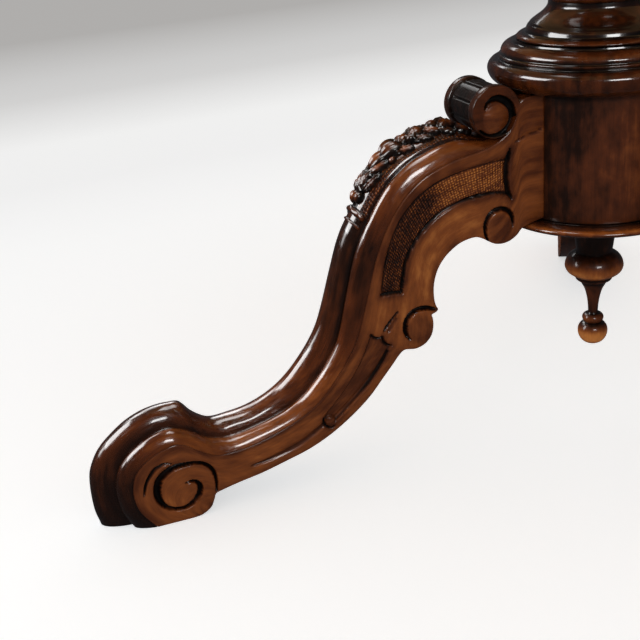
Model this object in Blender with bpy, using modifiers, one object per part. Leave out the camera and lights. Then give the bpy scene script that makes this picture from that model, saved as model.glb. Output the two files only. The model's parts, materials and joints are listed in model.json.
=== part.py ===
"""Round tilt-top centre table on a turned column, a round drum and three carved scroll legs."""

import math

import bmesh
import bpy
from mathutils import Matrix

# Overall sizes, in metres
TABLE_HEIGHT = 0.730
TOP_DIAMETER = 1.200
GAP = 0.0003
CUT_OVERRUN = 0.020

# Legs
LEG_REACH = 0.447
LEG_RISE = 0.343
LEG_WIDTH = 0.060
LEG_ANGLES = {"left": 210.0, "right": 330.0, "back": 90.0}
LEG_END_OVERRUN = 0.004
LEG_TOP_FALL = 0.002
LEG_OVER_DISC = 0.003
ROLL_RADIUS = 0.0235
ROLL_WAIST = 0.0205
ROLL_RIM = 0.011
ROLL_PROUD = 0.0008
ROLL_OUT = 0.0422
ROLL_BELOW_DRUM_TOP = 0.0095

# Leg dowels
DOWEL_RADIUS = 0.006
DOWEL_INTO_DRUM = 0.034
DOWEL_INTO_LEG = 0.032
DOWEL_FROM_DRUM_BOTTOM = 0.032
DOWEL_FROM_DRUM_TOP = 0.036

# Drum, disc under it and drop finial
DRUM_RADIUS = 0.080
DRUM_HEIGHT = 0.1190
DISC_THICKNESS = 0.0085
DISC_PROUD = 0.0160
DISC_SCREW_CIRCLE = 0.052
DISC_SCREW_ANGLES = (30.0, 150.0, 270.0)
DISC_SCREW_LENGTH = 0.034
FINIAL_DROP = 0.1463
FINIAL_SPIGOT_RADIUS = 0.012
FINIAL_SPIGOT_LENGTH = 0.040

# Collar and column
COLLAR_HEIGHT = 0.0405
COLLAR_PROUD = 0.0230
SPIGOT_RADIUS = 0.022
COLUMN_FOOT_RADIUS = 0.0760
COLUMN_FOOT_EDGE = 0.0025
COLUMN_HEAD_RADIUS = 0.062
TENON_RADIUS = 0.025
WEDGE_THICKNESS = 0.005
WEDGE_TIP = 0.002
WEDGE_DEPTH = 0.032

# Tilting block and its pivots
BLOCK_WIDTH = 0.230
BLOCK_THICKNESS = 0.045
BLOCK_BACK = 0.145
PIVOT_OFFSET = 0.130
PIVOT_DROP = 0.0255
NOSE_CLEARANCE = 0.0007
PIVOT_RADIUS = 0.005
PIVOT_INTO_BLOCK = 0.045
PIVOT_HEAD_RADIUS = 0.0095
PIVOT_HEAD_THICKNESS = 0.004
PIVOT_HEAD_SIDE = 0.0016
PIVOT_CROWN_RADIUS = 0.0057
WASHER_RADIUS = 0.012
WASHER_THICKNESS = 0.0015

# Bearers under the top
BEARER_WIDTH = 0.034
BEARER_DEPTH = 0.044
BEARER_LENGTH = 0.840
BEARER_TAPER = 0.070
BEARER_END_DEPTH = 0.018
BEARER_SIDE_CLEARANCE = 0.0008
BEARER_SCREW_INSET = 0.100
BEARER_SCREW_MIDDLE = 0.030
BEARER_SCREW_BITE = 0.017
BEARER_SCREW_SINK = 0.012

# Top
TOP_THICKNESS = 0.028
VENEER_THICKNESS = 0.0015
MOULDING_WIDTH = 0.026
MOULDING_DEPTH = 0.036

# Screws
SCREW_HEAD_RADIUS = 0.0048
SCREW_HEAD_HEIGHT = 0.0030
SCREW_SHANK_RADIUS = 0.0024
SMALL_HEAD_RADIUS = 0.0032
SMALL_HEAD_HEIGHT = 0.0019
SMALL_SHANK_RADIUS = 0.0015
SMALL_SCREW_LENGTH = 0.014
SCREW_RUNOUT = 0.002

# Catch under the top and keeper in the block
CATCH_WIDTH = 0.044
CATCH_LENGTH = 0.076
CATCH_PLATE_THICKNESS = 0.0025
CATCH_FROM_BLOCK = 0.006
CATCH_SCREW_INSET = 0.0052
BRIDGE_WIDTH = 0.026
BRIDGE_LENGTH = 0.008
BRIDGE_INSET = 0.0100
BRIDGE_STRAP = 0.002
BOLT_WIDTH = 0.014
BOLT_THICKNESS = 0.008
BOLT_FROM_BLOCK = 0.002
BOLT_TAIL = 0.002
BOLT_TRAVEL = 0.012
KNOB_RADIUS = 0.007
KNOB_STEM_RADIUS = 0.003
KNOB_DROP = 0.019
KNOB_FROM_BLOCK = 0.042
KNOB_PIN_RADIUS = 0.0021
KNOB_PIN_LENGTH = 0.006
KNOB_ANGLES = (55.0, 25.0, 0.0, -30.0, -60.0)
KEEPER_WIDTH = 0.038
KEEPER_HEIGHT = 0.026
KEEPER_THICKNESS = 0.002
KEEPER_BELOW_BLOCK_TOP = 0.001
KEEPER_SLOT_SPARE = 0.0006
KEEPER_SCREW_OUT = 0.0132
KEEPER_SCREW_DOWN = 0.0175

# Sides of the round pieces, and how the curved outlines are stepped
TOP_SIDES = 72
DRUM_SIDES = 48
TENON_SIDES = 36
COLUMN_SIDES = 32
SMALL_TURNED_SIDES = 24
FITTING_SIDES = 16
DOWEL_SIDES = 12
SCREW_SIDES = 10
NOSE_STEPS = 8
SHARP_ANGLE = 35.0
WELD_DISTANCE = 0.00001

# Leg pattern in millimetres, drawn from the drum face outwards and from the floor up:
# crest out, crest up, arris out, arris up, underside out, underside up, share of the side bead
PATTERN = (
    (19.5, 343, 16, 341, 17, 219.5, 0.60),
    (37, 337.5, 29.5, 320.5, 27.5, 210.5, 0.60),
    (54, 331.5, 39.5, 306, 40.5, 208, 0.60),
    (82, 326, 69.5, 295.5, 60, 219, 0.60),
    (113.5, 320, 101, 289.5, 79.5, 218.5, 0.60),
    (141, 305, 127.5, 275.5, 95.5, 208, 0.60),
    (163, 282.5, 147, 252.5, 106.5, 190, 0.60),
    (181.5, 252, 160, 227.5, 108, 166, 0.60),
    (188.5, 235, 165, 215, 107.5, 156, 0.60),
    (195.5, 217, 169, 202, 111.5, 148.5, 0.60),
    (210, 173, 178, 173, 114.5, 129.5, 0.54),
    (226.5, 137.5, 189, 139.5, 131, 120.5, 0.43),
    (252, 108.5, 208.5, 111.5, 149.5, 117.5, 0.38),
    (283.5, 89.5, 241, 80.5, 180, 82, 0.38),
    (316, 83, 279.5, 64.5, 221, 53, 0.40),
    (337.5, 87, 315.5, 58, 268, 35, 0.42),
    (353, 102, 344, 64.5, 316, 25, 0.42),
    (375.5, 107.5, 368, 78.5, 338.5, 15.5, 0.42),
    (406.5, 99, 391.5, 72, 342, 8.5, 0.42),
    (433.5, 77.5, 408, 57.5, 345, 4.4, 0.42),
    (447, 49.5, 412, 34.5, 349, 2.1, 0.42),
    (443.5, 0, 395.5, 0, 357, 0, 0.42),
)
PATTERN_STEPS = 2
# Half section of the moulded face: share of the half width, then share of the way from arris to
# crest, the middle three taken against the side bead's share
BAND_SECTION = ((0.0, 1.0), (0.27, 0.95), (0.47, 0.80))
BEAD_SECTION = ((0.55, 1.0), (0.70, 1.03), (0.90, 0.70))

# Turned profiles: radius beyond or of the named part, and share of the height
COLLAR_PROFILE = (
    (0.0, 0.0), (0.55, 0.03), (0.88, 0.18), (1.0, 0.40), (0.86, 0.62), (0.50, 0.735), (0.40, 0.75),
    (0.40, 0.82), (0.30, 0.90), (0.12, 0.95), (-0.06, 1.0),
)
COLUMN_PROFILE = (
    (0.0700, 0.022), (0.0660, 0.040), (0.0640, 0.055), (0.0520, 0.085),
    (0.0460, 0.120), (0.0500, 0.132), (0.0500, 0.148), (0.0420, 0.165), (0.0480, 0.215), (0.0600, 0.285),
    (0.0625, 0.340), (0.0570, 0.410), (0.0450, 0.490), (0.0350, 0.570), (0.0310, 0.640), (0.0310, 0.680),
    (0.0420, 0.700), (0.0420, 0.722), (0.0330, 0.740), (0.0360, 0.800), (0.0440, 0.850), (0.0500, 0.880),
    (0.0500, 0.905), (0.0560, 0.925), (0.0620, 0.945),
)
FINIAL_PROFILE = (
    (0.0225, 0.0), (0.0214, 0.053), (0.0202, 0.157), (0.0185, 0.259), (0.0177, 0.300), (0.0206, 0.316), (0.0246, 0.336),
    (0.0273, 0.363), (0.0287, 0.393), (0.0287, 0.419), (0.0266, 0.448), (0.0226, 0.468), (0.0182, 0.487), (0.0176, 0.508),
    (0.0136, 0.524), (0.0118, 0.548), (0.0090, 0.584), (0.0070, 0.631), (0.0057, 0.681), (0.0051, 0.744), (0.0058, 0.769),
    (0.0105, 0.791), (0.0107, 0.807), (0.0086, 0.833), (0.0143, 0.872), (0.0150, 0.902), (0.0140, 0.938), (0.0108, 0.973),
    (0.0058, 0.993), (0.0, 1.0),
)
# Disc edge: share of what stands proud of the drum, in from the rim, and share of the thickness
DISC_PROFILE = ((1.0, 1.0), (0.15, 0.84), (0.0, 0.58), (0.07, 0.29), (0.35, 0.07), (0.65, 0.0))
# Edge moulding: share of its width in from the rim, and share of its depth down from the top
MOULDING_PROFILE = (
    (0.40, 0.0), (0.16, 0.07), (0.0, 0.24), (0.0, 0.35), (0.16, 0.50), (0.34, 0.555), (0.38, 0.65),
    (0.56, 0.90), (0.66, 1.0),
)

# Heights and places worked out from the sizes above
TOP_UNDERSIDE = TABLE_HEIGHT - TOP_THICKNESS
BLOCK_TOP = TOP_UNDERSIDE - NOSE_CLEARANCE
BLOCK_BOTTOM = BLOCK_TOP - BLOCK_THICKNESS
PIVOT_Y = -PIVOT_OFFSET
PIVOT_Z = TOP_UNDERSIDE - PIVOT_DROP
DRUM_TOP = LEG_RISE
DRUM_BOTTOM = DRUM_TOP - DRUM_HEIGHT
DISC_TOP = DRUM_BOTTOM - GAP
DISC_BOTTOM = DISC_TOP - DISC_THICKNESS
DISC_RADIUS = DRUM_RADIUS + DISC_PROUD
COLLAR_BOTTOM = DRUM_TOP + GAP
COLLAR_TOP = COLLAR_BOTTOM + COLLAR_HEIGHT
COLUMN_BOTTOM = COLLAR_TOP + GAP
COLUMN_TOP = BLOCK_BOTTOM - GAP
CORE_RADIUS = TOP_DIAMETER / 2 - MOULDING_WIDTH - GAP
CORE_TOP = TABLE_HEIGHT - VENEER_THICKNESS - GAP
BEARER_INSIDE = BLOCK_WIDTH / 2 + BEARER_SIDE_CLEARANCE
BEARER_OUTSIDE = BEARER_INSIDE + BEARER_WIDTH
CATCH_FRONT = BLOCK_BACK + CATCH_FROM_BLOCK
CATCH_BACK = CATCH_FRONT + CATCH_LENGTH
CATCH_TOP = TOP_UNDERSIDE - GAP
CATCH_BOTTOM = CATCH_TOP - CATCH_PLATE_THICKNESS
BOLT_TOP = CATCH_BOTTOM - GAP
BOLT_BOTTOM = BOLT_TOP - BOLT_THICKNESS
BOLT_FRONT = BLOCK_BACK + BOLT_FROM_BLOCK
BOLT_BACK = CATCH_BACK - BOLT_TAIL
KEEPER_TOP = BLOCK_TOP - KEEPER_BELOW_BLOCK_TOP
KEEPER_BOTTOM = KEEPER_TOP - KEEPER_HEIGHT

for old in list(bpy.data.objects):
    bpy.data.objects.remove(old, do_unlink=True)

TABLE = bpy.data.collections.new("centre_table")
CUTTERS = bpy.data.collections.new("cutters")
bpy.context.scene.collection.children.link(TABLE)
bpy.context.scene.collection.children.link(CUTTERS)

# Turns that stand an outline up across X, or lay a turned piece along an axis
STAND = (math.pi / 2, 0.0, math.pi / 2)
TO_FRONT = (math.pi / 2, 0.0, 0.0)
TO_LEFT = (0.0, -math.pi / 2, 0.0)
TO_RIGHT = (0.0, math.pi / 2, 0.0)


def finish(name, colour, roughness, metallic=0.0):
    """A plain material with a colour, a roughness and a metal share."""
    material = bpy.data.materials.new(name)
    material.use_nodes = True
    shader = material.node_tree.nodes["Principled BSDF"]
    shader.inputs["Base Color"].default_value = (*colour, 1.0)
    shader.inputs["Roughness"].default_value = roughness
    shader.inputs["Metallic"].default_value = metallic
    return material


WALNUT = finish("polished_walnut", (0.140, 0.050, 0.018), 0.25)
BURR = finish("burr_walnut_veneer", (0.260, 0.110, 0.040), 0.18)
PINE = finish("pine", (0.520, 0.340, 0.170), 0.60)
MAHOGANY = finish("mahogany", (0.200, 0.070, 0.030), 0.50)
BEECH = finish("beech", (0.600, 0.400, 0.220), 0.60)
BRASS = finish("brass", (0.700, 0.480, 0.170), 0.30, 1.0)
STEEL = finish("steel", (0.360, 0.350, 0.340), 0.38, 1.0)


def pivot(name, place, parent=None):
    """An empty on a joint's axis, for the pieces that move with it."""
    empty = bpy.data.objects.new(name, None)
    empty.location = place
    TABLE.objects.link(empty)
    if parent:
        hang(empty, parent)
    return empty


def hang(shape, parent):
    """Make a piece follow an empty, leaving it where it stands."""
    base = parent.location.copy()
    shape.parent = parent
    shape.matrix_parent_inverse = Matrix.Translation(-base)


TILT_AXIS = pivot("tilt_axis", (0.0, PIVOT_Y, PIVOT_Z))
BOLT_AXIS = pivot("bolt_axis", (0.0, BOLT_FRONT, (BOLT_TOP + BOLT_BOTTOM) / 2), TILT_AXIS)


def smooth(mesh):
    """Shade round faces smooth and keep their edges sharp."""
    mesh.shade_smooth()
    mesh.set_sharp_from_angle(angle=math.radians(SHARP_ANGLE))
    return mesh


def part(name, mesh, material, place=(0.0, 0.0, 0.0), turn=(0.0, 0.0, 0.0), parent=None):
    """Put a mesh in the table's collection under its own name and material, at a place."""
    shape = bpy.data.objects.new(name, mesh)
    mesh.name = name
    mesh.materials.append(material)
    shape.location = place
    shape.rotation_euler = turn
    TABLE.objects.link(shape)
    if parent:
        hang(shape, parent)
    return shape


def cutter(name, mesh, place=(0.0, 0.0, 0.0), turn=(0.0, 0.0, 0.0)):
    """Keep a mesh out of the render as a shape that only cuts or joins others."""
    shape = bpy.data.objects.new(name, mesh)
    shape.hide_render = True
    shape.display_type = "WIRE"
    shape.location = place
    shape.rotation_euler = turn
    CUTTERS.objects.link(shape)
    return shape


def change(shape, other, operation="DIFFERENCE"):
    """Cut another shape from this one, or join it on."""
    step = shape.modifiers.new(other.name, "BOOLEAN")
    step.operation = operation
    step.solver = "EXACT"
    step.object = other


def profile_mesh(profile, closed=False):
    """The line of a turned piece's profile, as radius and height points, out along +X."""
    lines = [(i, i + 1) for i in range(len(profile) - 1)]
    if closed:
        lines.append((len(profile) - 1, 0))
    mesh = bpy.data.meshes.new("profile")
    mesh.from_pydata([(r, 0.0, h) for r, h in profile], lines, [])
    return mesh


def turn_round(shape, steps):
    """Turn a profile about its own Z."""
    turn = shape.modifiers.new("Turn", "SCREW")
    turn.axis = "Z"
    turn.steps = steps
    turn.render_steps = steps
    turn.use_merge_vertices = True
    turn.merge_threshold = WELD_DISTANCE
    return shape


def rod_mesh(radius, low, high, sides):
    """A plain round bar along Z between two heights."""
    work = bmesh.new()
    middle = Matrix.Translation((0.0, 0.0, (low + high) / 2))
    bmesh.ops.create_cone(
        work, cap_ends=True, segments=sides, radius1=radius, radius2=radius, depth=high - low, matrix=middle
    )
    mesh = bpy.data.meshes.new("rod")
    work.to_mesh(mesh)
    work.free()
    return smooth(mesh)


def box_mesh(low, high):
    """A box between two corners."""
    work = bmesh.new()
    middle = [(a + b) / 2 for a, b in zip(low, high)]
    size = [b - a for a, b in zip(low, high)]
    bmesh.ops.create_cube(work, size=1.0, matrix=Matrix.LocRotScale(middle, None, size))
    mesh = bpy.data.meshes.new("box")
    work.to_mesh(mesh)
    work.free()
    return mesh


def welded(mesh):
    """Close the seams that a curve leaves between its caps and its sides."""
    work = bmesh.new()
    work.from_mesh(mesh)
    bmesh.ops.remove_doubles(work, verts=work.verts, dist=WELD_DISTANCE)
    bmesh.ops.recalc_face_normals(work, faces=work.faces)
    work.to_mesh(mesh)
    work.free()
    return mesh


def outline_mesh(points, half_thickness):
    """A flat outline, drawn in its own XY plane and made equally thick both ways."""
    curve = bpy.data.curves.new("outline", "CURVE")
    curve.dimensions = "2D"
    curve.fill_mode = "BOTH"
    curve.extrude = half_thickness
    spline = curve.splines.new("POLY")
    spline.points.add(len(points) - 1)
    for place, (x, y) in zip(spline.points, points):
        place.co = (x, y, 0.0, 1.0)
    spline.use_cyclic_u = True
    shape = bpy.data.objects.new("outline", curve)
    CUTTERS.objects.link(shape)
    bpy.context.view_layer.update()
    ready = shape.evaluated_get(bpy.context.evaluated_depsgraph_get())
    mesh = bpy.data.meshes.new_from_object(ready)
    bpy.data.objects.remove(shape, do_unlink=True)
    return welded(mesh)


def screw_profile(head_radius, head_height, shank_radius, length, spare=0.0):
    """Profile of a countersunk screw whose head face is at zero and whose point is up at its length."""
    return (
        (0.0, length + spare),
        (shank_radius + spare, length - shank_radius + spare),
        (shank_radius + spare, head_height),
        (head_radius + spare, 0.0),
        (head_radius + spare, -SCREW_RUNOUT),
        (0.0, -SCREW_RUNOUT),
    )


def screw(name, sizes, place, holed, turn=(0.0, 0.0, 0.0), parent=None):
    """A countersunk screw, and its hole in each piece that it passes through."""
    plain = screw_profile(*sizes)[:4] + ((0.0, 0.0),)
    turn_round(part(name, profile_mesh(plain), STEEL, place, turn, parent), SCREW_SIDES)
    hole = cutter(name + "_hole", profile_mesh(screw_profile(*sizes, GAP)), place, turn)
    turn_round(hole, SCREW_SIDES)
    for shape in holed:
        change(shape, hole)


def smooth_rows(rows, steps):
    """Rows of a pattern with more between them, on a smooth curve through them all."""
    padded = [rows[0], *rows, rows[-1]]
    smooth = []
    for before, start, stop, after in zip(padded, padded[1:], padded[2:], padded[3:]):
        for i in range(steps):
            t = i / steps
            weights = (
                (-t + 2 * t * t - t**3) / 2,
                (2 - 5 * t * t + 3 * t**3) / 2,
                (t + 4 * t * t - 3 * t**3) / 2,
                (t**3 - t * t) / 2,
            )
            columns = zip(before, start, stop, after)
            smooth.append([sum(w * v for w, v in zip(weights, four)) for four in columns])
    return smooth + [rows[-1]]


def leg_section(crest, arris, underside, bead, half):
    """Points around one section of a leg, from the middle of the crest down one side and up the other."""
    shares = [(o, t) for o, t in BAND_SECTION] + [(o, t * bead) for o, t in BEAD_SECTION] + [(1.0, 0.0)]
    side = []
    for off, share in shares:
        out = arris[0] + share * (crest[0] - arris[0])
        up = arris[1] + share * (crest[1] - arris[1])
        side.append((out, off * half, up))
    side.append((underside[0], half, underside[1]))
    other = [(x, -y, z) for x, y, z in reversed(side[1:])]
    return side + other


def leg_mesh():
    """One leg as a loft between its sections, lying along +X with its sole on the floor."""
    half = LEG_WIDTH / 2
    inner = math.sqrt(DRUM_RADIUS**2 - half**2) - LEG_END_OVERRUN
    out = LEG_REACH / max(row[0] for row in PATTERN)
    up = LEG_RISE / PATTERN[0][1]
    end = ((inner, DRUM_TOP), (inner, DRUM_TOP - LEG_TOP_FALL), (inner, DRUM_BOTTOM + LEG_OVER_DISC))
    rings = [leg_section(*end, PATTERN[0][6], half)]
    for cx, cz, ax, az, ux, uz, bead in smooth_rows(PATTERN, PATTERN_STEPS):
        crest = (DRUM_RADIUS + cx * out, cz * up)
        arris = (DRUM_RADIUS + ax * out, az * up)
        underside = (DRUM_RADIUS + ux * out, uz * up)
        rings.append(leg_section(crest, arris, underside, bead, half))
    count = len(rings[0])
    points = [p for ring in rings for p in ring]
    faces = [tuple(range(count - 1, -1, -1))]
    for i in range(len(rings) - 1):
        for j in range(count):
            k = (j + 1) % count
            faces.append((i * count + j, i * count + k, (i + 1) * count + k, (i + 1) * count + j))
    last = (len(rings) - 1) * count
    faces.append(tuple(range(last, last + count)))
    mesh = bpy.data.meshes.new("leg")
    mesh.from_pydata(points, [], faces)
    return smooth(welded(mesh))


def roll_profile():
    """The scroll across the top of a leg: a waisted roll with a rim at each end."""
    end = LEG_WIDTH / 2 + ROLL_PROUD
    rim = end - ROLL_RIM
    waist = rim - ROLL_RADIUS + ROLL_WAIST
    return (
        (0.0, end), (ROLL_RADIUS, end), (ROLL_RADIUS, rim), (ROLL_WAIST, waist),
        (ROLL_WAIST, -waist), (ROLL_RADIUS, -rim), (ROLL_RADIUS, -end), (0.0, -end),
    )


def make_legs(drum):
    """The three legs with their scrolls, and the dowels that hold them to the drum."""
    drum_room = rod_mesh(DRUM_RADIUS + GAP, DRUM_BOTTOM - CUT_OVERRUN, DRUM_TOP + CUT_OVERRUN, DRUM_SIDES)
    drum_space = cutter("drum_space", drum_room)
    disc_room = rod_mesh(DISC_RADIUS + GAP, DISC_BOTTOM - CUT_OVERRUN, DISC_TOP + GAP, DRUM_SIDES)
    disc_space = cutter("disc_space", disc_room)
    heights = {"lower": DRUM_BOTTOM + DOWEL_FROM_DRUM_BOTTOM, "upper": DRUM_TOP - DOWEL_FROM_DRUM_TOP}
    low = DRUM_RADIUS - DOWEL_INTO_DRUM
    high = DRUM_RADIUS + DOWEL_INTO_LEG
    for side, degrees in LEG_ANGLES.items():
        angle = math.radians(degrees)
        leg = part("leg_" + side, leg_mesh(), WALNUT, turn=(0.0, 0.0, angle))
        roll = cutter("roll_" + side, profile_mesh(roll_profile()), turn=TO_FRONT)
        turn_round(roll, SMALL_TURNED_SIDES)
        roll.location = (DRUM_RADIUS + ROLL_OUT, 0.0, DRUM_TOP - ROLL_BELOW_DRUM_TOP)
        roll.parent = leg
        change(leg, roll, "UNION")
        change(leg, drum_space)
        change(leg, disc_space)
        for level, height in heights.items():
            name = "leg_dowel_" + side + "_" + level
            place = (0.0, 0.0, height)
            lie = (0.0, math.pi / 2, angle)
            part(name, rod_mesh(DOWEL_RADIUS, low, high, DOWEL_SIDES), BEECH, place, lie)
            hole = rod_mesh(DOWEL_RADIUS + GAP, low - GAP, high + GAP, DOWEL_SIDES)
            socket = cutter(name + "_socket", hole, place, lie)
            change(leg, socket)
            change(drum, socket)


def make_drum():
    """The drum that the legs are dowelled to."""
    bore = SPIGOT_RADIUS + GAP
    profile = ((DRUM_RADIUS, DRUM_HEIGHT), (DRUM_RADIUS, 0.0), (bore, 0.0), (bore, DRUM_HEIGHT))
    drum = part("leg_drum", profile_mesh(profile, True), WALNUT, (0.0, 0.0, DRUM_BOTTOM))
    return turn_round(drum, DRUM_SIDES)


def make_disc(drum):
    """The moulded disc screwed under the drum, and the drop finial through it."""
    hole = FINIAL_SPIGOT_RADIUS + GAP
    edge = [(DISC_RADIUS - back * DISC_PROUD, up * DISC_THICKNESS) for back, up in DISC_PROFILE]
    profile = edge + [(hole, 0.0), (hole, DISC_THICKNESS)]
    disc = part("base_disc", profile_mesh(profile, True), WALNUT, (0.0, 0.0, DISC_BOTTOM))
    turn_round(disc, DRUM_SIDES)
    sizes = (SCREW_HEAD_RADIUS, SCREW_HEAD_HEIGHT, SCREW_SHANK_RADIUS, DISC_SCREW_LENGTH)
    for number, degrees in enumerate(DISC_SCREW_ANGLES, 1):
        angle = math.radians(degrees)
        x = DISC_SCREW_CIRCLE * math.cos(angle)
        y = DISC_SCREW_CIRCLE * math.sin(angle)
        place = (x, y, DISC_BOTTOM + GAP)
        screw(f"base_disc_screw_{number}", sizes, place, (disc, drum))
    drop = [(r, -share * FINIAL_DROP) for r, share in FINIAL_PROFILE]
    radius = FINIAL_SPIGOT_RADIUS
    spigot = [(0.0, FINIAL_SPIGOT_LENGTH), (radius, FINIAL_SPIGOT_LENGTH), (radius, 0.0)]
    finial = part("drop_finial", profile_mesh(spigot + drop), WALNUT, (0.0, 0.0, DISC_BOTTOM - GAP))
    turn_round(finial, SMALL_TURNED_SIDES)


def make_column():
    """The moulded collar on the drum, the turned column and the wedge in its upper tenon."""
    bore = SPIGOT_RADIUS + GAP
    outer = reversed(COLLAR_PROFILE)
    ring = [(DRUM_RADIUS + share * COLLAR_PROUD, up * COLLAR_HEIGHT) for share, up in outer]
    ring += [(bore, 0.0), (bore, COLLAR_HEIGHT)]
    collar = part("collar", profile_mesh(ring, True), WALNUT, (0.0, 0.0, COLLAR_BOTTOM))
    turn_round(collar, DRUM_SIDES)
    height = COLUMN_TOP - COLUMN_BOTTOM
    head = BLOCK_TOP - COLUMN_BOTTOM
    foot = DRUM_BOTTOM - COLUMN_BOTTOM
    socket = DISC_BOTTOM + FINIAL_SPIGOT_LENGTH - COLUMN_BOTTOM
    hole = FINIAL_SPIGOT_RADIUS + GAP
    body = [(COLUMN_HEAD_RADIUS, height)]
    body += [(r, share * height) for r, share in reversed(COLUMN_PROFILE)]
    body += [(COLUMN_FOOT_RADIUS, COLUMN_FOOT_EDGE), (COLUMN_FOOT_RADIUS, 0.0)]
    tenon = [(0.0, head), (TENON_RADIUS, head), (TENON_RADIUS, height)]
    spigot = [(SPIGOT_RADIUS, 0.0), (SPIGOT_RADIUS, foot), (hole, foot), (hole, socket), (0.0, socket)]
    column = part("column", profile_mesh(tenon + body + spigot), WALNUT, (0.0, 0.0, COLUMN_BOTTOM))
    turn_round(column, COLUMN_SIDES)
    half = WEDGE_THICKNESS / 2
    tip = WEDGE_TIP / 2
    wedge = ((-half, 0.0), (-tip, -WEDGE_DEPTH), (tip, -WEDGE_DEPTH), (half, 0.0))
    length = math.sqrt(TENON_RADIUS**2 - half**2) - GAP
    part("tenon_wedge", outline_mesh(wedge, length), BEECH, (0.0, 0.0, BLOCK_TOP), STAND)
    wide = half + GAP
    kerf = (
        (-wide, CUT_OVERRUN), (-wide, 0.0), (-tip - GAP, -WEDGE_DEPTH - GAP),
        (tip + GAP, -WEDGE_DEPTH - GAP), (wide, 0.0), (wide, CUT_OVERRUN),
    )
    kerf_mesh = outline_mesh(kerf, TENON_RADIUS + CUT_OVERRUN)
    change(column, cutter("wedge_kerf", kerf_mesh, (0.0, 0.0, BLOCK_TOP), STAND))


def make_block():
    """The block that the top tips on, with its tenon hole and the keeper for the catch."""
    reach = PIVOT_DROP - NOSE_CLEARANCE
    nose = []
    for i in range(NOSE_STEPS + 1):
        angle = math.radians(90.0 + 90.0 * i / NOSE_STEPS)
        nose.append((PIVOT_Y + reach * math.cos(angle), PIVOT_Z + reach * math.sin(angle)))
    top = PIVOT_Z + reach
    side = [(PIVOT_Y - reach, BLOCK_BOTTOM), (BLOCK_BACK, BLOCK_BOTTOM), (BLOCK_BACK, top)] + nose
    block = part("tilt_block", outline_mesh(side, BLOCK_WIDTH / 2), MAHOGANY, turn=STAND)
    hole = rod_mesh(TENON_RADIUS + GAP, BLOCK_BOTTOM - CUT_OVERRUN, BLOCK_TOP + CUT_OVERRUN, TENON_SIDES)
    change(block, cutter("tenon_hole", hole))
    keeper_low = (-KEEPER_WIDTH / 2, BLOCK_BACK - KEEPER_THICKNESS, KEEPER_BOTTOM)
    keeper_high = (KEEPER_WIDTH / 2, BLOCK_BACK, KEEPER_TOP)
    keeper = part("keeper_plate", box_mesh(keeper_low, keeper_high), BRASS)
    recess_low = [v - GAP for v in keeper_low]
    recess_high = (keeper_high[0] + GAP, BLOCK_BACK + CUT_OVERRUN, KEEPER_TOP + GAP)
    change(block, cutter("keeper_recess", box_mesh(recess_low, recess_high)))
    spare = KEEPER_SLOT_SPARE
    slot_low = (-BOLT_WIDTH / 2 - spare, BLOCK_BACK - BOLT_TRAVEL - spare, BOLT_BOTTOM - spare)
    slot_high = (BOLT_WIDTH / 2 + spare, BLOCK_BACK + CUT_OVERRUN, BOLT_TOP + spare)
    slot = cutter("keeper_slot", box_mesh(slot_low, slot_high))
    change(block, slot)
    change(keeper, slot)
    sizes = (SMALL_HEAD_RADIUS, SMALL_HEAD_HEIGHT, SMALL_SHANK_RADIUS, SMALL_SCREW_LENGTH)
    for label, x in (("left", -KEEPER_SCREW_OUT), ("right", KEEPER_SCREW_OUT)):
        place = (x, BLOCK_BACK - GAP, KEEPER_TOP - KEEPER_SCREW_DOWN)
        screw("keeper_screw_" + label, sizes, place, (block, keeper), TO_FRONT)
    return block


def make_pivots(block, bearers):
    """The two pivot bolts through the bearers into the block, and their washers."""
    head = BEARER_OUTSIDE + WASHER_THICKNESS + 2 * GAP
    inner = BLOCK_WIDTH / 2 - PIVOT_INTO_BLOCK
    crown = head + PIVOT_HEAD_THICKNESS
    bolt = (
        (0.0, crown), (PIVOT_CROWN_RADIUS, crown), (PIVOT_HEAD_RADIUS, head + PIVOT_HEAD_SIDE),
        (PIVOT_HEAD_RADIUS, head), (PIVOT_RADIUS, head), (PIVOT_RADIUS, inner), (0.0, inner),
    )
    low = BEARER_OUTSIDE + GAP
    bore = PIVOT_RADIUS + GAP
    high = low + WASHER_THICKNESS
    ring = ((WASHER_RADIUS, high), (WASHER_RADIUS, low), (bore, low), (bore, high))
    axis = (0.0, PIVOT_Y, PIVOT_Z)
    for side, turn in (("left", TO_LEFT), ("right", TO_RIGHT)):
        turn_round(part("pivot_bolt_" + side, profile_mesh(bolt), STEEL, axis, turn), FITTING_SIDES)
        turn_round(part("pivot_washer_" + side, profile_mesh(ring, True), BRASS, axis, turn), FITTING_SIDES)
        bore_mesh = rod_mesh(bore, inner - GAP, BEARER_OUTSIDE + CUT_OVERRUN, FITTING_SIDES)
        hole = cutter("pivot_bore_" + side, bore_mesh, axis, turn)
        change(block, hole)
        change(bearers[side], hole)


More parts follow.
